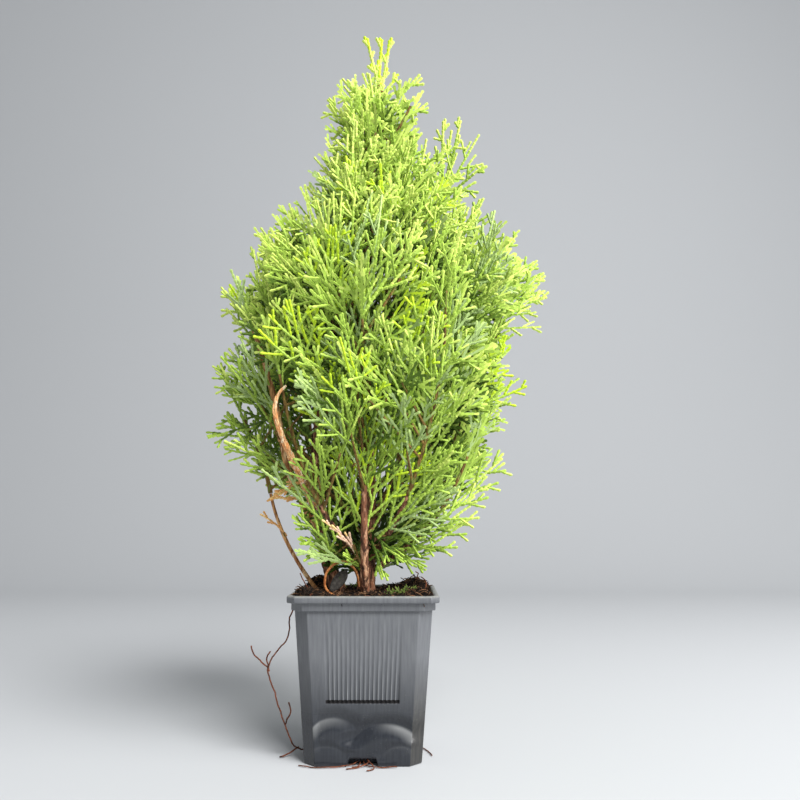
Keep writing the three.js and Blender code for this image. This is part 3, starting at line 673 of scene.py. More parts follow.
def make_trunk():
    rise = TRUNK["top"] - SOIL_LEVEL
    bow, butt, end = TRUNK["bow"], TRUNK["butt"], TRUNK["end"]
    controls = [
        vector(0, 0, SOIL_LEVEL),
        vector(bow, -bow, SOIL_LEVEL + rise / 3),
        vector(-bow, bow, SOIL_LEVEL + 2 * rise / 3),
        vector(TRUNK["lean"], 0, TRUNK["top"]),
    ]

    def radius(t):
        return end + (butt - end) * (1 - t) + TRUNK["flare"] * np.exp(-t / TRUNK["flare_share"])

    return {"name": "trunk", "curve": controls, "radius": radius, "steps": 30}


def make_bough(row, grown_limbs):
    name, azimuth, source, foot, reach, top, butt, end, mass_top = row
    start = polar(azimuth, foot, SOIL_LEVEL)
    for limb in grown_limbs:
        if limb["name"] == source:
            start = bezier(limb["curve"], share_at_height(limb["curve"], foot))[0]
    tip = polar(azimuth, reach, top)
    bend = (start + tip) / 2 + polar(azimuth, BOUGH_BOW * np.linalg.norm(tip - start), 0)
    bough = {"name": name, "curve": [start, bend, tip], "steps": 12, "from_soil": source == "soil"}
    bough.update(azimuth=azimuth, mass_top=mass_top, radius=lambda t: end + (butt - end) * (1 - t))
    return bough


def frames_along(points):
    """The directions along a line, and two that are square to each, without twist."""
    along = unit(np.gradient(points, axis=0))
    side = vector(0, 1, 0) if abs(along[0][1]) < 0.8 else vector(1, 0, 0)
    sides = []
    for direction in along:
        side = unit(side - direction * (side @ direction))
        sides.append(side)
    sides = np.array(sides)
    return along, sides, np.cross(along, sides)


def bark_relief(name, angle, run, radius):
    """How far the bark stands out: long flakes with ragged ends, each lifted at one edge."""
    seed = sum(map(ord, name))
    round_run = angle * max(radius, 1.2) * BARK_PITCH * 2
    flake = noise.noise(Vector((round_run, run * BARK_RUN * 1.6, seed)))
    split = abs(noise.noise(Vector((round_run * 1.9, run * BARK_RUN * 3, seed + 9))))
    grain = noise.noise(Vector((round_run * 5, run * 0.22, seed + 20)))
    return 0.55 * flake - 0.9 * max(0.0, 0.16 - split) * 4 + 0.28 * grain


def bark_tube(limb):
    """A limb with its bark, from just under the soil or inside its parent to its tip."""
    length = curve_length(limb["curve"])
    shares = np.linspace(0, 1, max(12, int(length / LIMB_STEP)))
    points = bezier(limb["curve"], shares)
    if limb["name"] == "trunk" or limb.get("from_soil"):
        points = np.concatenate([[points[0] - vector(0, 0, 3)], points])
        shares = np.concatenate([[0], shares])
    _, side, other = frames_along(points)
    rings = []
    for i, point in enumerate(points):
        radius = float(limb["radius"](shares[i]))
        ring = []
        for j in range(LIMB_SIDES):
            angle = 2 * math.pi * j / LIMB_SIDES
            around = min(angle, 2 * math.pi - angle) * 2
            depth = BARK_DEPTH * limb.get("flaky", 1) * min(1, radius / FULL_BARK_RADIUS)
            lift = depth * bark_relief(limb["name"], around, shares[i] * length, radius)
            reach = radius * THIN_CORES.get(limb["name"], CORE) + lift
            ring.append(point + reach * (side[i] * math.cos(angle) + other[i] * math.sin(angle)))
        rings.append(np.array(ring))
    return join_rings(rings)


def bark_finish(name, dark, mid, pale):
    """Flaky bark: dark in the splits, with grey-tan flakes, along the limb."""
    material, tree, shader = surface(name, 0.88)
    stripes = noise_share(tree, 520, 0.38, 0.6, stretch=(1, 1, 0.16), detail=6)
    flakes = noise_share(tree, 420, 0.54, 0.62, stretch=(1, 1, 0.28), detail=5)
    base = blended(tree, stripes, dark, mid)
    tree.links.new(blended(tree, flakes, base, pale), shader.inputs["Base Color"])
    relief(tree, shader, stripes, 0.9, 0.9)
    shader.inputs["Specular IOR Level"].default_value = 0.3
    return material


red_bark = bark_finish("red_bark", (54, 34, 25), (144, 94, 68), (196, 150, 116))
tan_bark = bark_finish("tan_bark", (146, 94, 56), (220, 164, 108), (240, 200, 150))
# The peeling limb's bark is far paler than the tan bark: its own orange-tan, raised as painted light on a
# limb that lies in the crown's shade.
peeling_bark = bark_finish("peeling_bark", (234, 156, 96), (254, 206, 148), (255, 230, 192))
limb_barks = {"left_low": tan_bark, "left_mid": tan_bark, "peeling": peeling_bark}
PEELING_START, PEELING_LINE = 0.4, [(-34, -58, 172), (-64, -64, 204), (-45, -60, 219)]
limbs = [make_trunk()]
for row in BOUGHS:
    limbs.append(make_bough(row, limbs))
peeling = [bezier(limbs[1]["curve"], PEELING_START)[0], *(vector(*place) for place in PEELING_LINE)]
peeling_limb = {"name": "peeling", "curve": peeling, "radius": lambda t: 3 - 2.2 * t, "steps": 6, "flaky": 3}
for limb in limbs + [peeling_limb]:
    limb["line"] = bezier(limb["curve"], np.linspace(0, 1, limb["steps"] + 1))
    limb_points, limb_faces = bark_tube(limb)
    node = limb["name"] if limb["name"] == "trunk" else "bough_" + limb["name"]
    bark_material = limb_barks.get(limb["name"], red_bark)
    piece = new_piece(node + "_bark", limb_points, outward(limb_points, limb_faces), [bark_material])
    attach(piece, "root")
    if limb is not peeling_limb:
        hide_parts(node)

# The leafy stems. A thin green-brown stem runs on from each bough's tip, and others leave the trunk
# in rings and turn up. Each carries a mass of fronds, and has the ground nearer to it than to any
# other stem for its space.
CROWN = np.array([
    # height, reach to the left, to the right
    (100, 34, 28), (130, 58, 50), (160, 68, 70), (180, 95, 88), (215, 102, 105), (260, 98, 105),
    (300, 99, 123), (322, 86, 120), (350, 62, 84), (380, 42, 78), (414, 32, 68), (430, 30, 40),
    (456, 18, 32), (480, 10, 18),
], dtype=float)
CROWN_DEPTH = 0.9
# Name, height on the trunk, count, first azimuth, rise, and share of the crown's reach
RINGS = [
    ("skirt", 106, 4, 345, 20, 0.56), ("low", 140, 4, 30, 36, 0.5), ("inner", 186, 4, 28, 56, 0.6),
    ("middle", 228, 4, 74, 60, 0.66), ("shoulder", 270, 4, 30, 56, 0.66),
    ("upper", 310, 4, 75, 50, 0.66), ("neck", 350, 3, 40, 42, 0.62), ("crest", 388, 3, 100, 34, 0.6),
]
SHOULDER, TRUNK_CROWN_REACH = 336, 52
TURN, STEM_FREE = 7, 6
STEM_BUTT, STEM_END, STEM_STEPS = 1.5, 0.8, 4
STEM_OUT, STEM_UP, STEM_SHARE, BOUGH_FREE = 0.6, 0.34, 0.8, 0.45
TIP_STEM = 10
GAP, CLEARANCE, RIM_CLEARANCE = 0.3, 0.7, 4
TOP_SIZE, FULL_SIZE_LEVEL = 0.6, 250


def at_height(table, z, column=1):
    """A table's value at a height. The height may be an array."""
    return np.interp(z, table[:, 0], table[:, column])


def profile_reach(profile, x, y, z):
    """How far a profile reaches at a height, towards a place. The places may be arrays."""
    left, right = at_height(profile, z), at_height(profile, z, 2)
    depth = CROWN_DEPTH * (left + right) / 2
    far = np.maximum(np.hypot(x, y), 1e-9)
    return 1 / np.hypot(x / far / np.where(x > 0, right, left), y / far / depth)


def reach_at(azimuth, z, profile=CROWN):
    x, y = math.cos(math.radians(azimuth)), math.sin(math.radians(azimuth))
    return float(profile_reach(profile, x, y, z))


def distances(points, starts, steps):
    """From each point to each straight segment."""
    away = points[:, None, :] - starts[None]
    share = np.clip((away * steps).sum(-1) / (steps * steps).sum(-1), 0, 1)
    return np.linalg.norm(away - share[..., None] * steps, axis=-1)


def line_distance(points, line):
    return distances(points, line[:-1], np.diff(line, axis=0)).min(axis=1)


def bough_mass(bough):
    direction = tangent(bough["curve"], 1)[0]
    start = bough["curve"][-1] + direction * GAP
    azimuth, top = bough["azimuth"], bough["mass_top"]
    end = polar(azimuth, STEM_SHARE * reach_at(azimuth, top), top)
    return bough["name"], [start, start + direction * BOUGH_FREE * np.linalg.norm(end - start), end]


def ring_mass(ring, index, placed):
    name, z, count, first, rise, share = ring
    trunk = limbs[0]["curve"]
    start = bezier(trunk, share_at_height(trunk, z))[0]
    top, turn = z + rise, 0
    while True:
        azimuth = first + 360 / count * index + turn
        reach = reach_at(azimuth, top)
        end = polar(azimuth, share * (min(reach, TRUNK_CROWN_REACH) if top > SHOULDER else reach), top)
        bend = start + (end - start) * vector(STEM_OUT, STEM_OUT, STEM_UP)
        points = bezier([start, bend, end], np.linspace(0, 1, 2 * STEM_STEPS + 1))
        points = points[np.linalg.norm(points - start, axis=1) > STEM_FREE]
        widths = [(limb["line"], float(limb["radius"](0))) for limb in limbs[1:]]
        widths += [(mass["line"], STEM_BUTT) for mass in placed]
        if all(line_distance(points, line).min() > width + STEM_BUTT + CLEARANCE for line, width in widths):
            return f"{name}_{index + 1}", [start, bend, end]
        turn = -turn if turn > 0 else TURN - turn


def place_mass(placed, name, controls):
    middle = bezier(controls, 0.5)[0][2]
    high = float(smooth_step(FULL_SIZE_LEVEL, CROWN[-1, 0], middle))
    line = bezier(controls, np.linspace(0, 1, STEM_STEPS + 1))
    size = 1 + (TOP_SIZE - 1) * high
    length = curve_length(controls)
    placed.append({"name": name, "curve": controls, "line": line, "size": size, "length": length})


masses = []
for bough in limbs[1:]:
    place_mass(masses, *bough_mass(bough))
for ring in RINGS:
    for index in range(ring[2]):
        place_mass(masses, *ring_mass(ring, index, masses))
tip_start = limbs[0]["curve"][-1] + tangent(limbs[0]["curve"], 1)[0] * GAP
tip_end = tip_start + tangent(limbs[0]["curve"], 1)[0] * TIP_STEM
place_mass(masses, "tip", [tip_start, (tip_start + tip_end) / 2, tip_end])

# The fronds. Each is a flat, fern-like spray of twiglets in green scale leaves: a rib, twiglets that
# leave it to the left and right in turn, and finer ones on those. They grow left and right in turn
# along the leafy stem, lean up and outwards, and are as long as the mass's space lets them.
FROND_LENGTH, FROND_SPACING, FIRST_FROND = 66, 19, 0.14
FROND_LEAN, LOW_LEAN, LEAN_SPREAD, LAST_SPREAD = 34, 24, 16, 12
ROLL_SPREAD, TURN_SPREAD, TILT_SPREAD = 60, 75, 0.35
LENGTH_STEP, LEAST_LENGTH = 0.06, 0.34
LEAST_FRONDS, MOST_FRONDS = 3, 5
TRIES = 10
EXTRA_TRIES, EXTRA_SIZE = 3, 0.9  # finer fronds beside the source's


def seeded(seed):
    """Numbers from 0 to 1 that are the same for the same seed."""
    state = seed & 0xFFFFFFFF
    while True:
        state = (state + 0x6D2B79F5) & 0xFFFFFFFF
        mixed = ((state ^ (state >> 15)) * (1 | state)) & 0xFFFFFFFF
        mixed = ((mixed + ((mixed ^ (mixed >> 7)) * (61 | mixed) & 0xFFFFFFFF)) & 0xFFFFFFFF) ^ mixed
        yield ((mixed ^ (mixed >> 14)) & 0xFFFFFFFF) / 4294967296


def spread(random, reach):
    """A number between -reach and reach."""
    return (next(random) * 2 - 1) * reach


mass_starts = np.concatenate([mass["line"][:-1] for mass in masses])
mass_steps = np.concatenate([np.diff(mass["line"], axis=0) for mass in masses])
limb_starts = np.concatenate([limb["line"][:-1] for limb in limbs])
limb_steps = np.concatenate([np.diff(limb["line"], axis=0) for limb in limbs])
limb_radii = np.concatenate([np.full(limb["steps"], float(limb["radius"](0.3))) for limb in limbs])


def in_crown(points, profile=CROWN, proud=0.0):
    """True for the points inside the crown's outline and clear of the pot."""
    x, y, z = points.T
    over_pot = np.maximum(abs(x), abs(y)) < LIP_WIDTH / 2 + RIM_CLEARANCE
    inside = np.hypot(x, y) <= profile_reach(profile, x, y, z) + proud
    return inside & (z <= CROWN[-1, 0] + proud) & ~(over_pot & (z < POT_HEIGHT + RIM_CLEARANCE))


def in_space(points, index):
    """True for the points in a mass's space, clear of the limbs, and in the crown."""
    to_masses = distances(points, mass_starts, mass_steps).reshape(len(points), len(masses), STEM_STEPS)
    to_masses = to_masses.min(axis=2)
    own = to_masses[:, index].copy()
    to_masses[:, index] = np.inf
    clear = (distances(points, limb_starts, limb_steps) > limb_radii + CLEARANCE).all(axis=1)
    return in_crown(points) & (to_masses.min(axis=1) > own + 2 * CLEARANCE) & clear


def try_frond(mass, index, number, count, attempt):
    """One try at a frond: its foot, its direction, its normal and its length, or None."""
    random = seeded((index + 1) * 1000 + number * 20 + attempt)
    t = FIRST_FROND + (1 - FIRST_FROND) * number / (count - 1)
    origin = bezier(mass["curve"], t)[0]
    stem = tangent(mass["curve"], t)[0]
    level = unit(np.cross(stem, vector(0, 0, 1)))
    roll = math.radians((180 if number % 2 else 0) + spread(random, ROLL_SPREAD))
    aside = level * math.cos(roll) + vector(0, 0, abs(math.sin(roll)))
    if number == count - 1:
        lean = math.radians(spread(random, LAST_SPREAD))
    else:
        lean = math.radians(FROND_LEAN + LOW_LEAN * (1 - t) + spread(random, LEAN_SPREAD))
    along = unit(stem * math.cos(lean) + aside * math.sin(lean))
    turn = math.radians(spread(random, TURN_SPREAD))
    x, y = unit(vector(-origin[1], origin[0]))
    facing = vector(x * math.cos(turn) - y * math.sin(turn), x * math.sin(turn) + y * math.cos(turn), 0)
    facing[2] = spread(random, TILT_SPREAD)
    normal = unit(facing - along * (facing @ along))
    parts = np.arange(1, LEAST_LENGTH, -LENGTH_STEP)
    full = FROND_LENGTH * mass["size"]
    runs = (parts[:, None] * [0.3, 0.6, 0.8, 1] * full).ravel()
    fits = in_space(origin + along * runs[:, None], index).reshape(len(parts), 4).all(axis=1)
    if not fits.any():
        return None
    length = float(parts[fits.argmax()] * full)
    across = np.cross(normal, along)
    probes = [(0.3, 0.28), (0.55, 0.25), (0.3, -0.28), (0.55, -0.25)]
    sides = np.array([origin + along * u * length + across * v * length for u, v in probes])
    room = 0.4 + 0.15 * in_space(sides, index).sum()
    return {"foot": origin, "along": along, "normal": normal, "length": length, "room": length * room}


def best_frond(mass, index, number, count, attempts):
    tries = [try_frond(mass, index, number, count, attempt) for attempt in attempts]
    return max(filter(None, tries), key=lambda frond: frond["room"], default=None)


fronds = []
for index, mass in enumerate(masses):
    count = min(max(round(mass["length"] / (FROND_SPACING * mass["size"])), LEAST_FRONDS), MOST_FRONDS)
    for number in range(count):
        fronds.append(best_frond(mass, index, number, count, range(TRIES)))
    for number in range(count if mass["size"] > 0.9 else 0):
        finer = best_frond(mass, index, number, count, range(50, 50 + EXTRA_TRIES))
        if finer:
            finer["length"] *= EXTRA_SIZE
        fronds.append(finer)
fronds = [frond for frond in fronds if frond]

# The outer fronds. Where the crown's outline is still bare, a frond reaches towards it from the
# nearest stem, so that the plant is full on every side. One too far out stands on a thin twig. They
# stand out in clumps, with clefts between them, as the sprays of each bough do.
ROW_PITCH, PLACE_PITCH = 14, 14
OUTER_LOW, OUTER_HIGH = 118, 444
OUTER_LENGTH = (48, 84)
FULL_ENOUGH = 7.6  # no frond goes where another's rib is this near
TURNED_SHARE, FLATTENED = 0.65, 0.6
FAN, FAN_SPREAD = 1.1, 1.0  # how far those at the front and the back lean to the left or right
LEADER_LEVEL = 438  # above this only the leader's own fronds grow
BEST_REACH, NEAREST_STEM = 56, 20  # how far the stem that carries an outer frond should be
REACH_COST, TURN_COST, USE_COST, NEAR_COST = 0.35, 110, 3.0, 100
CLUMP_PITCH = 0.034  # how often a clump comes, each millimetre
CLUMP_REACH, CLUMP_SPREAD, CLEFT = 0.88, 0.34, 0.72  # shares of the outline
# The crown's outline: height, reach to the left and to the right
OUTLINE = np.array([
    (112, 36, 24), (124, 44, 36), (143, 50, 50), (160, 62, 62), (173, 84, 80), (183, 88, 82),
    (193, 96, 76), (206, 100, 98), (217, 91, 103), (227, 87, 101), (242, 97, 98), (257, 85, 98),
    (267, 83, 92), (280, 90, 104), (290, 94, 113), (300, 86, 119), (312, 75, 114), (320, 73, 94),
    (328, 72, 96), (334, 71, 100),
    (342, 64, 82), (350, 52, 79), (357, 38, 77), (380, 37, 66),
    (392, 33, 44), (410, 28, 40), (426, 27, 37), (437, 20, 34), (446, 5, 16), (476, 0.5, 13),
], dtype=float)
# How steeply the fronds rise at some heights, in degrees, to the left and to the right
RISE = np.array([
    (110, 4, 4), (180, 26, 20), (240, 46, 30), (320, 60, 36), (380, 50, 44), (450, 54, 52),
], dtype=float)
BARE_SIDE, BARE_LEVEL = -44, 168  # the crown is bare beyond this on the left, up to this level
SPARSE_SIDE, SPARSE_LEVEL, SPARSE_SHARE = -34, 226, 0.5  # and sparse further up on that side
OPEN_FRONT, OPEN_LEVEL = 44, 184  # and open within these degrees of the front, where stems show
PROUD, SINGLE_PROUD = 5, 30  # how far a strip may stand out of the outline
SHORTEST_RIB = 12
# Places in the front where limbs show: x, height, half width, half height
CLEARINGS = [(-46, 196, 13, 22), (-34, 172, 8, 18), (-16, 138, 6, 18), (1, 150, 7, 30), (22, 156, 8, 20)]
CLEARED_FRONT = -14
OPENINGS = [(-40, 346, 5, 14), (41, 406, 4, 14)]  # where one looks right through, likewise
# Single fronds that stand out: foot, tip, how they turn to the front, and what they look like
SINGLE_FRONDS = [
    ((7, 0, 428), (6, -1, 456), 1, "tip"), ((6, -1, 446), (-3, -2, 476), 1, "tip"),
    ((6, 0, 430), (8, 0, 477), 1, "tip"), ((9, 0, 442), (15.5, 0, 476), 1, "tip"),
    ((9, 0, 436), (20, 2, 450), 1, "tip"), ((5, 0, 418), (-18, -4, 446), 1, "outer"),
    ((8, 0, 420), (36, -2, 448), 1, "outer"), ((6, 0, 400), (40, -4, 428), 1, "fresh"),
    ((4, 0, 396), (-29, -3, 429), 1, "outer"),
    ((56, 12, 378), (63, 2, 417), 1, "outer"), ((56, 12, 372), (76, 0, 406), 1, "outer"),
    ((56, 10, 366), (79, 0, 384), 1, "fresh"), ((52, 12, 374), (50, 0, 415), 1, "outer"),
    ((74, -4, 268), (119, -4, 302), 1, "outer"), ((78, -2, 278), (115, 0, 313), 1, "fresh"),
    ((70, -6, 262), (118, -8, 286), 0.5, "outer"), ((66, 0, 296), (101, 0, 333), 1, "fresh"),
    ((-60, -2, 208), (-103, -6, 192), 0.6, "plain"), ((-62, -4, 214), (-100, -4, 240), 1, "fresh"),
    ((-62, -4, 262), (-96, -2, 292), 1, "outer"), ((-56, 0, 296), (-73, 0, 326), 1, "fresh"),
    ((-42, 0, 300), (-70, 0, 330), 1, "outer"), ((-32, -6, 308), (-55, -4, 345), 1, "fresh"),
    ((34, -20, 136), (87, -22, 176), 0.8, "fresh"), ((34, -24, 132), (72, -26, 160), 0.6, "outer"),
    ((26, -20, 122), (63, -24, 140), 0.8, "fresh"), ((16, -18, 116), (46, -26, 122), 0.7, "plain"),
    ((-8, -22, 114), (-40, -32, 121), 0.7, "waxy"), ((-18, -14, 124), (-44, -30, 142), 0.6, "plain"),
    ((-18, -16, 118), (-40, -30, 128), 0.7, "green"), ((-20, -16, 112), (-32, -40, 168), 0.9, "green"),
    ((-4, -24, 134), (-19, -50, 196), 0.9, "green"), ((-2, -22, 120), (15, -50, 206), 0.9, "bright"),
    ((4, -24, 134), (46, -52, 206), 0.9, "green"), ((8, -24, 130), (50, -46, 172), 0.8, "green"),
    ((6, -20, 132), (56, -40, 156), 0.8, "waxy"), ((10, -18, 130), (54, -36, 136), 0.7, "plain"),
    ((6, -16, 132), (25, -30, 114), 0.9, "plain"), ((4, -16, 128), (13, -26, 106), 0.9, "plain"),
    ((14, -14, 124), (36, -28, 112), 0.8, "green"), ((-8, -28, 168), (-14, -56, 226), 0.9, "green"),
    ((8, -30, 176), (24, -60, 236), 0.9, "bright"), ((-24, -30, 178), (-30, -62, 236), 0.9, "bright"),
    ((20, -34, 186), (52, -66, 236), 0.9, "green"), ((-6, -34, 200), (-2, -70, 262), 0.9, "waxy"),
    ((-22, -50, 250), (-14, -80, 306), 0.9, "bright"), ((-30, -44, 214), (-42, -78, 264), 0.9, "bright"),
    ((22, -46, 210), (38, -78, 264), 0.9, "bright"),
    ((-36, -12, 166), (-63, -16, 160), 0.9, "dead"), ((-34, -12, 152), (-58, -16, 160), 0.9, "dead"),
    ((-51, -2, 131), (-62, -8, 147), 0.9, "dead"), ((-5, -20, 119), (-16, -36, 143), 0.9, "faded"),
]


def cleared(places):
    """True if any of the places lies in a clearing in the front."""
    x, y, z = places.T
    return any(
        ((abs(x - middle_x) < wide) & (abs(z - middle_z) < high) & (y < CLEARED_FRONT)).any()
        for middle_x, middle_z, wide, high in CLEARINGS
    )


def sparse(place, chance):
    """True if no frond goes to this place, where the crown is sparse."""
    return place[0] < SPARSE_SIDE and place[2] < SPARSE_LEVEL and chance < SPARSE_SHARE


def opened(place):
    """True if a place lies in an opening, at any depth."""
    return any(abs(place[0] - x) < wide and abs(place[2] - z) < high for x, z, wide, high in OPENINGS)


stem_places = [bezier(mass["curve"], np.linspace(0.1, 1, 10)) for mass in masses]
stem_places = np.concatenate(stem_places + [bezier(limb["curve"], np.linspace(0.5, 1, 6)) for limb in limbs])
limb_places = [bezier(limb["curve"], np.linspace(0.02, 1, 40)) for limb in limbs]
wood_places = np.concatenate([stem_places] + limb_places)
stem_uses = np.zeros(len(stem_places))
twigs = []  # start, end


def outline_at(azimuth, z):
    return reach_at(azimuth, z, OUTLINE)


def rib_places(frond):
    return frond["foot"] + frond["along"] * frond["length"] * np.linspace(0.35, 1, 5)[:, None]


def settled(frond, random):
    """The frond, short enough to stay in the outline. Most turn their flat to the front or the back."""
    widened = 1 + 0.4 * float(smooth_step(330, 400, frond["foot"][2]))
    frond["along"] = unit(frond["along"] * (widened, FLATTENED, 1))
    frond["normal"] = unit(frond["normal"] - frond["along"] * (frond["normal"] @ frond["along"]))
    while frond["length"] > SHORTEST_RIB and not in_crown(rib_places(frond)[-1:], OUTLINE, PROUD)[0]:
        frond["length"] *= 0.88
    if next(random) < TURNED_SHARE:
        facing = frond["normal"] + vector(0, math.copysign(1.6, frond["normal"][1]), 0)
        frond["normal"] = unit(facing - frond["along"] * (facing @ frond["along"]))
    return frond


def outer_frond(target, random):
    """The frond that ends at a place on the outline, from the stem that suits it best."""
    away = target - stem_places
    far = np.linalg.norm(away, axis=1)
    out = unit(vector(target[0], target[1]))
    rise = math.radians(at_height(RISE, target[2], 1 if target[0] < 0 else 2))
    aside = target[0] / outline_at(0 if target[0] > 0 else 180, target[2]) + FAN_SPREAD * (next(random) - 0.5)
    fanned = vector(FAN * aside, 0.3 * out[1], 1)
    wanted = vector(out[0] * math.cos(rise), out[1] * math.cos(rise), math.sin(rise))
    wanted = unit(wanted * (1 - out[1] ** 2) + fanned * out[1] ** 2)
    turned_off = 1 - (away @ wanted) / far
    cost = np.abs(far - BEST_REACH) * REACH_COST + TURN_COST * turned_off + USE_COST * stem_uses
    cost[far < NEAREST_STEM] += NEAR_COST
    chosen = int(cost.argmin())
    stem_uses[chosen] += 1
    full = OUTER_LENGTH[0] + (OUTER_LENGTH[1] - OUTER_LENGTH[0]) * next(random)
    full *= 1 - 0.4 * float(smooth_step(300, 460, target[2]))
    length = min(full, far[chosen])
    along = unit(away[chosen] + vector(0, 0, -4 * next(random)))
    foot = target - along * length
    if far[chosen] > length + 1:
        twigs.append((stem_places[chosen], foot + along * 0.4 * length))
    facing = vector(0, -1, 0) if next(random) < 0.7 else vector(-out[1], out[0], 0)
    facing = facing + vector(*(spread(random, 1) for _ in range(3))) * (0.8, 0.4, 0.6)
    normal = unit(facing - along * (facing @ along))
    return {"foot": foot, "along": along, "normal": normal, "length": length}


random = seeded(77)
fronds = [settled(frond, random) for frond in fronds if frond["foot"][2] < LEADER_LEVEL]
fronds = [frond for frond in fronds if not cleared(rib_places(frond))]
fronds = [frond for frond in fronds if not sparse(rib_places(frond)[-1], next(random))]
taken = np.concatenate([rib_places(frond) for frond in fronds])
for z in np.arange(OUTER_HIGH, OUTER_LOW, -ROW_PITCH):
    girth = math.pi * (outline_at(0, z) + outline_at(180, z))
    count = max(3, round(girth / PLACE_PITCH))
    first = next(random)
    for step in range(count):
        azimuth = 360 * (step + first + 0.6 * (next(random) - 0.5)) / count % 360
        level = z + ROW_PITCH * (next(random) - 0.5)
        target = polar(azimuth, outline_at(azimuth, level), level)
        clump = noise.noise(Vector(target) * CLUMP_PITCH)
        share = CLUMP_REACH + CLUMP_SPREAD * clump + 0.1 * (next(random) - 0.5)
        if share < CLEFT:
            continue
        target = target * (min(share, 1.05), min(share, 1.05), 1)
        bare = target[0] < BARE_SIDE and level < BARE_LEVEL
        thinned = abs(azimuth - 270) < OPEN_FRONT and level < OPEN_LEVEL and step % 4
        if bare or thinned or np.linalg.norm(taken - target, axis=1).min() < FULL_ENOUGH:
            continue
        frond = outer_frond(target, random)
        if not cleared(rib_places(frond)) and not sparse(target, next(random)):
            fronds.append(frond)
            taken = np.concatenate([taken, rib_places(frond)])
for foot, tip, to_front, kind in SINGLE_FRONDS:
    foot, tip = vector(*foot), vector(*tip)
    along = unit(tip - foot)
    facing = vector(0, -to_front, 0) + (1 - to_front) * vector(0.4, 0, 1)
    normal = unit(facing - along * (facing @ along))
    length = float(np.linalg.norm(tip - foot))
    fronds.append({"foot": foot, "along": along, "normal": normal, "length": length, "kind": kind})
    carrier = wood_places[np.linalg.norm(wood_places - foot, axis=1).argmin()]
    if np.linalg.norm(carrier - foot) > 1:
        twigs.append((carrier, foot + along * 3))

# The bare twigs. In the heart of the crown, where no light falls, the side twigs have lost their
# leaves and stand out of the stems at all angles.
BARE_TWIGS, BARE_INSIDE = 5, 26  # how many on each leafy stem, and how far inside the outline they stay
for mass in masses:
    for share in np.linspace(0.05, 0.6, BARE_TWIGS):
        start = bezier(mass["curve"], share)[0]
        step = vector(*(spread(random, 1) for _ in range(3))) + vector(0, 0, 0.5)
        end = start + unit(step) * (14 + 14 * next(random))
        if mass["size"] > 0.8 and in_crown(end[None], OUTLINE, -BARE_INSIDE)[0]:
            twigs.append((start, end))

# The twiglets. Each is a strip of overlapping scale leaves, flattened, with the leaves' tips
# standing out at its edges.
TWIGLET_PITCH = 8.2
TWIGLET_LEANS = np.array([(150, 34), (260, 40), (360, 48)], dtype=float)  # by height, in degrees
TWIGLET_SHARE = 0.58  # the longest twiglet, as a share of the rib
TWIG_PITCH = 6.4
LONGEST_TWIG = 13
TIP_LEAN, TIP_SHARE, TIP_LEAST, TIP_WIDTH = 34, 0.16, 6, 2.5  # on the leader
DEAD_LEAN, DEAD_SHARE, DEAD_LEAST, DEAD_WIDTH, DEAD_BEND = 26, 0.34, 4, 1.4, 0.34  # on dead sprigs
# The deep and shade tints that these give are painted shade in the heart of the crown.
DEEP, SHADED = 0.44, 0.64  # shares of the outline within which a strip is dark, or shaded
SCALE_PITCH = 2.9  # from one pair of scale leaves to the next
STRIP_WIDTHS = np.array([(160, 1.85), (300, 1.95), (440, 2.3)], dtype=float)  # by height
STRIP_DEPTH = 0.45  # as a share of its width
strips = []  # foot, direction, normal, bend, length, width at foot, at tip, tint, tip's tint


def add_strip(foot, along, normal, bend, length, wide, narrow, tint, tip_tint):
    strips.append((*foot, *along, *normal, *bend, length, wide, narrow, tint, tip_tint))


def shaded(place, tint):
    """The tint, or a dark one of painted shade where the place lies deep in the crown."""
    out = math.hypot(place[0], place[1]) / float(profile_reach(OUTLINE, *place))
    out += 0.5 * float(smooth_step(280, 380, place[2]))
    return TINT["deep"] if out < DEEP else TINT["shade"] if out < SHADED else tint


def turned(along, across, degrees, side):
    lean = math.radians(degrees)
    return unit(along * math.cos(lean) + across * side * math.sin(lean))


def at_share(foot, along, bend, length, share):
    """A strip's point and direction at a share of it."""
    return foot + along * (length * share) + bend * (length * share * share), unit(along + 2 * share * bend)


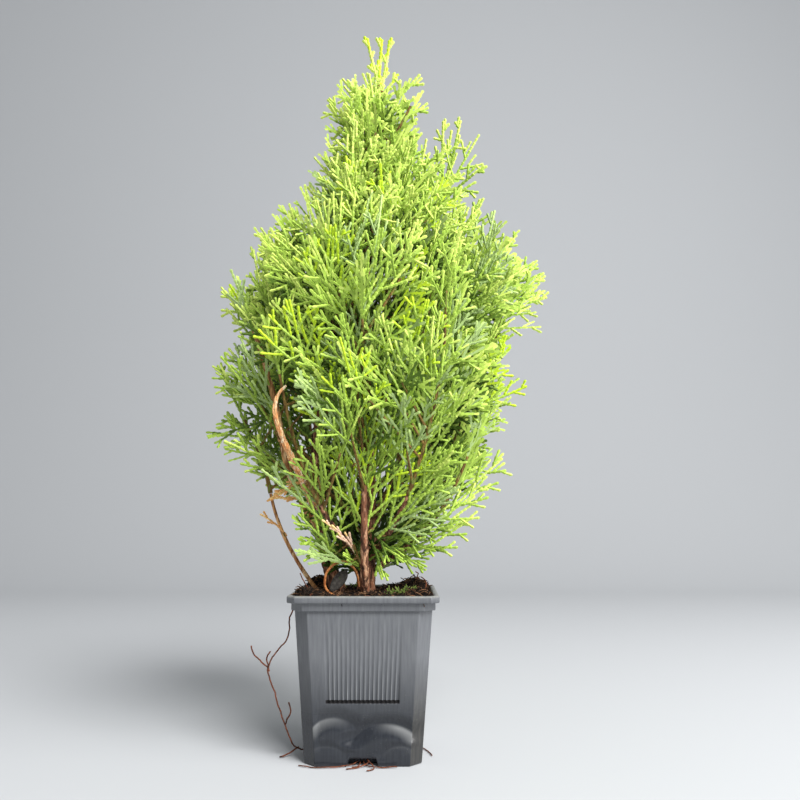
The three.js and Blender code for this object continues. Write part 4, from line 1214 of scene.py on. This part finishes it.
def grow_frond(frond, kind, random):
    """The strips of one frond."""
    foot, along, normal, length = (frond[key] for key in ("foot", "along", "normal", "length"))
    across = np.cross(normal, along)
    single = "kind" in frond
    loose = 0.3 if single else 1.0  # the single ones end where they are meant to
    bend = (across * spread(random, 0.2) + normal * spread(random, 0.14) + vector(0, 0, 0.12)) * loose
    width = float(at_height(STRIP_WIDTHS, foot[2])) * (0.88 + 0.24 * next(random))
    lean = float(at_height(TWIGLET_LEANS, foot[2]))
    longest = TWIGLET_SHARE
    proud = SINGLE_PROUD if single else PROUD * (2.8 * next(random) - 0.8)
    while not single and length > SHORTEST_RIB:
        if in_crown((foot + (along + bend) * length)[None], OUTLINE, PROUD)[0]:
            break
        length *= 0.9
    least = 6.0
    if frond.get("kind") == "tip":
        lean, longest, least, width = TIP_LEAN, TIP_SHARE, TIP_LEAST, TIP_WIDTH
    if frond.get("kind") in ("dead", "faded"):
        lean, longest, least, width = DEAD_LEAN, DEAD_SHARE, DEAD_LEAST, DEAD_WIDTH
        bend = across * DEAD_BEND + vector(0, 0, 0.1)
    add_strip(foot, along, normal, bend, length, width, width * 0.9, kind[0], kind[2])
    side = 1 if next(random) < 0.5 else -1
    run = length * 0.14 + 2
    pitch = TWIGLET_PITCH * width / 1.8
    while run < length - 3:
        share = run / length
        place, ahead = at_share(foot, along, bend, length, share)
        side = -side
        full = longest * length * (1.1 - share) * min(1, 0.6 + 2 * share)
        reach = max(full, least) * (0.74 + 0.4 * next(random))
        plane = unit(normal + across * spread(random, 0.12) + ahead * spread(random, 0.16))
        out = unit(np.cross(plane, ahead))
        direction = turned(ahead, out, lean + spread(random, 7), side)
        curl = ahead * (0.2 + spread(random, 0.14)) + plane * spread(random, 0.16)
        tip, _ = at_share(place, direction, curl, reach, 1)
        if in_crown(tip[None], OUTLINE, proud)[0] and not opened(tip):
            tints = kind if single else [shaded(place, tint) for tint in kind]
            add_strip(place, direction, plane, curl, reach, width, width * 0.9, tints[0], tints[1])
            twiglet = (place, direction, plane, curl, reach)
            grow_twigs(twiglet, width, tints, (lean + 4, -side), proud, random)
        run += pitch * (0.8 + 0.4 * next(random)) * (1 - 0.3 * share)


def grow_twigs(twiglet, width, kind, leaning, proud, random):
    """The finest strips, on one twiglet."""
    foot, along, normal, bend, length = twiglet
    lean, side = leaning
    run = length * 0.26 + 1
    while run < length - 2.4:
        share = run / length
        place, ahead = at_share(foot, along, bend, length, share)
        reach = min(0.6 * (length - run) + 3.6, LONGEST_TWIG) * (0.8 + 0.35 * next(random))
        out = np.cross(normal, ahead)
        direction = turned(ahead, out, lean + 10 * (next(random) - 0.5), side)
        tip = place + direction * reach
        if in_crown(tip[None], OUTLINE, proud)[0] and not opened(tip):
            curl = ahead * 0.3 * next(random) + normal * (next(random) - 0.5) * 0.24
            add_strip(place, direction, normal, curl, reach, width * 0.95, width * 0.85, kind[1], kind[2])
        side = -side
        run += TWIG_PITCH * (0.8 + 0.4 * next(random)) * (1 - 0.45 * share)


# Leaf colours, from the painted shade of the crown's heart to the fresh tips, then the dry brown of dead
# twigs
LEAF_TINTS = {
    "shade": (90, 116, 42), "green": (144, 171, 68), "waxy": (158, 181, 114), "pale": (184, 208, 126),
    "fresh": (177, 206, 88), "lime": (208, 228, 112), "bright": (192, 220, 52), "tan": (234, 178, 112),
    "straw": (248, 210, 142), "deep": (48, 70, 14), "grass": (160, 189, 76), "faded": (236, 200, 172),
}
TINT = {name: index for index, name in enumerate(LEAF_TINTS)}
# The heart and inner kinds are painted shade, for fronds deep in the crown.
KINDS = {
    "inner": ("shade", "shade", "green"), "plain": ("shade", "green", "fresh"),
    "waxy": ("waxy", "waxy", "pale"), "fresh": ("green", "fresh", "lime"),
    "outer": ("fresh", "lime", "lime"), "bright": ("fresh", "bright", "bright"),
    "tip": ("lime", "lime", "bright"), "dead": ("tan", "tan", "straw"),
    "heart": ("deep", "deep", "shade"), "green": ("green", "grass", "fresh"),
    "faded": ("faded", "faded", "straw"),
}


def leaf_finish(name, tint):
    """Waxy scale leaves. The colour is plain: each spray has its own."""
    material, tree, shader = surface("leaf_" + name, 0.5)
    shader.inputs["Base Color"].default_value = colour(*tint)
    shader.inputs["Specular IOR Level"].default_value = 0.24
    spread_roughness(tree, shader, noise_share(tree, 700, 0.3, 0.7), 0.42, 0.62)
    return material


def tint_of(frond, chance):
    """A frond's three tints by how far out its tip is, painted shade for those deep inside, with some waxy
    and some bright ones.
    """
    tip = frond["foot"] + frond["along"] * frond["length"]
    out = math.hypot(tip[0], tip[1]) / float(profile_reach(CROWN, *tip))
    level = float(smooth_step(120, 420, tip[2]))
    out += 0.25 * level + 0.5 * float(smooth_step(300, 400, tip[2]))
    if "kind" in frond:
        name = frond["kind"]
    elif chance < 0.04:
        name = "bright"
    elif out < 0.5:
        name = "heart" if chance < 0.6 else "inner"
    elif chance < 0.05 + 0.3 * (1 - level):
        name = "waxy"
    elif chance > 0.6 + 0.5 * level:
        name = "green"
    elif out < 0.8:
        name = "plain" if chance < 0.65 else "fresh"
    else:
        name = "fresh" if chance < 0.9 - 0.2 * level else "outer"
    return [TINT[part] for part in KINDS[name]]


random = seeded(9000)
for frond in fronds:
    grow_frond(frond, tint_of(frond, next(random)), random)
strips = np.array(strips)


def strip_mesh(rows):
    """Scale-leaf strips from rows of numbers: points, faces and the faces' tints."""
    all_points, all_faces, all_tints, offset = [], [], [], 0
    scales = np.maximum(2, np.round(rows[:, 12] / SCALE_PITCH).astype(int))
    for count in np.unique(scales):
        group = rows[scales == count]
        foot, along, normal, bend = (group[:, i : i + 3][:, None, :] for i in (0, 3, 6, 9))
        length, wide, narrow = (group[:, i][:, None] for i in (12, 13, 14))
        shares = np.append(np.add.outer(np.arange(count), (0, 0.74)).ravel(), count)[None, :] / count
        widths = np.append(np.tile((0.7, 1.14), count), 0.6)[None, :]
        run = (length * shares)[..., None]
        middle = foot + along * run + bend * run * shares[..., None]
        ahead = unit(along + 2 * shares[..., None] * bend)
        side = unit(np.cross(normal, ahead))
        up = np.cross(ahead, side)
        half = ((wide + (narrow - wide) * shares) * widths / 2)[..., None]
        crest = middle + up * half * 2 * STRIP_DEPTH
        ring = np.stack([middle - side * half, middle + side * half, crest], axis=2)
        number, levels = ring.shape[0], ring.shape[1]
        base = offset + 3 * levels * np.arange(number)
        corner = np.arange(3)
        a = base[:, None, None] + 3 * np.arange(levels - 1)[None, :, None] + corner
        b = a - corner + (corner + 1) % 3
        quads = np.stack([a, b, b + 3, a + 3], axis=-1).reshape(-1, 4)
        foot_caps = base[:, None] + (0, 2, 1)
        tip_caps = base[:, None] + 3 * (levels - 1) + corner
        tip_from = levels - 1 - max(2, (levels - 1) // 3)
        tint = np.where(np.arange(levels - 1)[None, :] < tip_from, group[:, 15:16], group[:, 16:17])
        all_points.append(ring.reshape(-1, 3))
        all_faces += [quads, foot_caps, tip_caps]
        all_tints += [np.repeat(tint.ravel(), 3), group[:, 15], group[:, 16]]
        offset += number * levels * 3
    return np.concatenate(all_points), all_faces, np.concatenate(all_tints).astype(int)


MOST_TRIANGLES = 185_000
leaf_materials = [leaf_finish(name, tint) for name, tint in LEAF_TINTS.items()]
triangles = 12 * np.maximum(2, np.round(strips[:, 12] / SCALE_PITCH)) + 2
height_order = np.argsort(strips[:, 2])
group_of = (np.cumsum(triangles[height_order]) / MOST_TRIANGLES).astype(int)
foliage_nodes = ["foliage_" + mass["name"] for mass in masses]
for number in range(group_of.max() + 1):
    leaf_points, leaf_faces, leaf_tints = strip_mesh(strips[height_order[group_of == number]])
    piece = new_piece(f"sprays_{number + 1}", leaf_points, leaf_faces, leaf_materials, False, leaf_tints)
    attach(piece, "root")
    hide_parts(*foliage_nodes)

# The moss. Small green tufts have grown on the damp soil in front of the trunk, to the right, and a
# few behind it. They hold on to the crumbs by themselves.
MOSS_TUFTS, MOSS_SPREAD, MOSS_LENGTH = 170, (9, 7), (2.5, 7)
MOSS_PLACES = [(22, -24), (-8, 24)]
random = seeded(31)
moss_rows = []
for index in range(MOSS_TUFTS):
    x, y = MOSS_PLACES[index % 4 == 3]
    x += (next(random) + next(random) - 1) * MOSS_SPREAD[0]
    y += (next(random) + next(random) - 1) * MOSS_SPREAD[1]
    direction = unit(vector(next(random) - 0.5, next(random) - 0.5, 0.5))
    normal = unit(np.cross(direction, vector(next(random), 1, 0.3)))
    length = MOSS_LENGTH[0] + (MOSS_LENGTH[1] - MOSS_LENGTH[0]) * next(random)
    foot = (x, y, soil_height(x, y) - 0.5)
    moss_rows.append((*foot, *direction, *normal, 0, 0, 0, length, 1.3, 0.9, 0, 0))
moss_green = mottled("moss_green", 0.8, (600, 0.3, 0.7), (72, 92, 34), (128, 146, 58))[0]
moss_points, moss_faces, _ = strip_mesh(np.array(moss_rows))
moss = new_piece("moss", moss_points, moss_faces, [moss_green])
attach(moss, "root")


# The leafy stems and the twigs. They are thin, green-brown wood that carries the fronds. Each stem
# goes on from a bough or leaves the trunk, and each twig leaves a stem, a bough or the trunk.
PALE_STEM, PALE_BUTT = "left_mid", 2.3
TWIG_BUTT, TWIG_END = 0.9, 0.6


def smooth_tube(controls, butt, end, sides=8, step=2.0):
    """A round, slightly uneven stem along a curve."""
    length = curve_length(controls, 40)
    shares = np.linspace(0, 1, max(6, int(length / step)))
    points = bezier(controls, shares)
    _, side, other = frames_along(points)
    rings = []
    for i, point in enumerate(points):
        angles = 2 * math.pi * np.arange(sides) / sides
        radius = (butt + (end - butt) * shares[i]) * (1 + 0.08 * math.sin(i * 2.4))
        spokes = np.outer(np.cos(angles), side[i]) + np.outer(np.sin(angles), other[i])
        rings.append(point + radius * spokes)
    return join_rings(rings)


stem_bark = bark_finish("stem_bark", (96, 70, 38), (140, 112, 58), (128, 140, 66))
stem_points, stem_faces, stem_tints, offset = [], [], [], 0
thin_stems = [(mass["curve"], STEM_BUTT, STEM_END, 0) for mass in masses if mass["name"] != PALE_STEM]
thin_stems += [(mass["curve"], PALE_BUTT, STEM_BUTT, 1) for mass in masses if mass["name"] == PALE_STEM]
for start, end in twigs:
    thin_stems.append(([start, (start + end) / 2 - vector(0, 0, 1), end], TWIG_BUTT, TWIG_END, 0))
for controls, butt, end, tint in thin_stems:
    points, faces = smooth_tube(controls, butt, end)
    faces = outward(points, faces)
    stem_points.append(points)
    stem_faces += [tuple(corner + offset for corner in face) for face in faces]
    stem_tints += [tint] * len(faces)
    offset += len(points)
stem_barks = [stem_bark, tan_bark]
stems = new_piece("leafy_stems", np.concatenate(stem_points), stem_faces, stem_barks, tints=stem_tints)
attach(stems, "root")
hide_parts(*foliage_nodes)

# The studio. A pale floor turns up behind the plant in one curve, two soft lamps and the room light
# it, and the camera stands where the photograph's stood.
FLOOR_START, FLOOR_RUN, FLOOR_BEND = -1500, 2600, 900
FLAT_SHARE, BENT_SHARE = 0.55, 0.45
WALL_TURN, WALL_RISE = 1.4, 9000  # from this turn, in radians, the floor goes on as a wall
CAMERA_PLACE, CAMERA_PITCH = (0.0217, -0.523, 0.1405), 8.6
floor_rows = []
for run in np.linspace(0, 1, 60):
    angle = max(0.0, run - FLAT_SHARE) / BENT_SHARE * math.pi / 2
    flat = min(run, FLAT_SHARE) / FLAT_SHARE * FLOOR_RUN + FLOOR_START
    rise = FLOOR_BEND * (1 - math.cos(angle)) + max(0, angle - WALL_TURN) * WALL_RISE
    floor_rows.append((flat + FLOOR_BEND * math.sin(angle), rise))
floor_points = np.array([(x, y, z) for y, z in floor_rows for x in (-3500, 3500)], dtype=float)
floor_faces = [(2 * i, 2 * i + 1, 2 * i + 3, 2 * i + 2) for i in range(len(floor_rows) - 1)]
floor_material, _, floor_shader = surface("studio_floor", 0.9)
floor_shader.inputs["Base Color"].default_value = colour(196, 198, 200)
floor = new_piece("studio_floor", floor_points, floor_faces, [floor_material])


def lamp(name, place, target, size, power):
    light = bpy.data.lights.new(name, "AREA")
    light.size = size
    light.energy = power
    holder = bpy.data.objects.new(name, light)
    holder.location = place
    holder.rotation_euler = (Vector(target) - Vector(place)).to_track_quat("-Z", "Y").to_euler()
    bpy.context.scene.collection.objects.link(holder)


lamp("key", (0.9, -1.4, 1.8), (0, 0, 0.22), 1.1, 82)
lamp("side", (1.5, -0.6, 0.5), (0, 0, 0.15), 0.8, 14)
world = bpy.data.worlds.new("studio")
world.use_nodes = True
world.node_tree.nodes["Background"].inputs["Color"].default_value = (0.93, 0.96, 1, 1)
world.node_tree.nodes["Background"].inputs["Strength"].default_value = 0.33
bpy.context.scene.world = world
bpy.context.scene.view_settings.view_transform = "Standard"

lens = bpy.data.cameras.new("camera")
lens.lens = 36
lens.sensor_width = 36
camera = bpy.data.objects.new("camera", lens)
camera.location = CAMERA_PLACE
camera.rotation_euler = (math.radians(90 + CAMERA_PITCH), 0, 0)
bpy.context.scene.collection.objects.link(camera)
bpy.context.scene.camera = camera
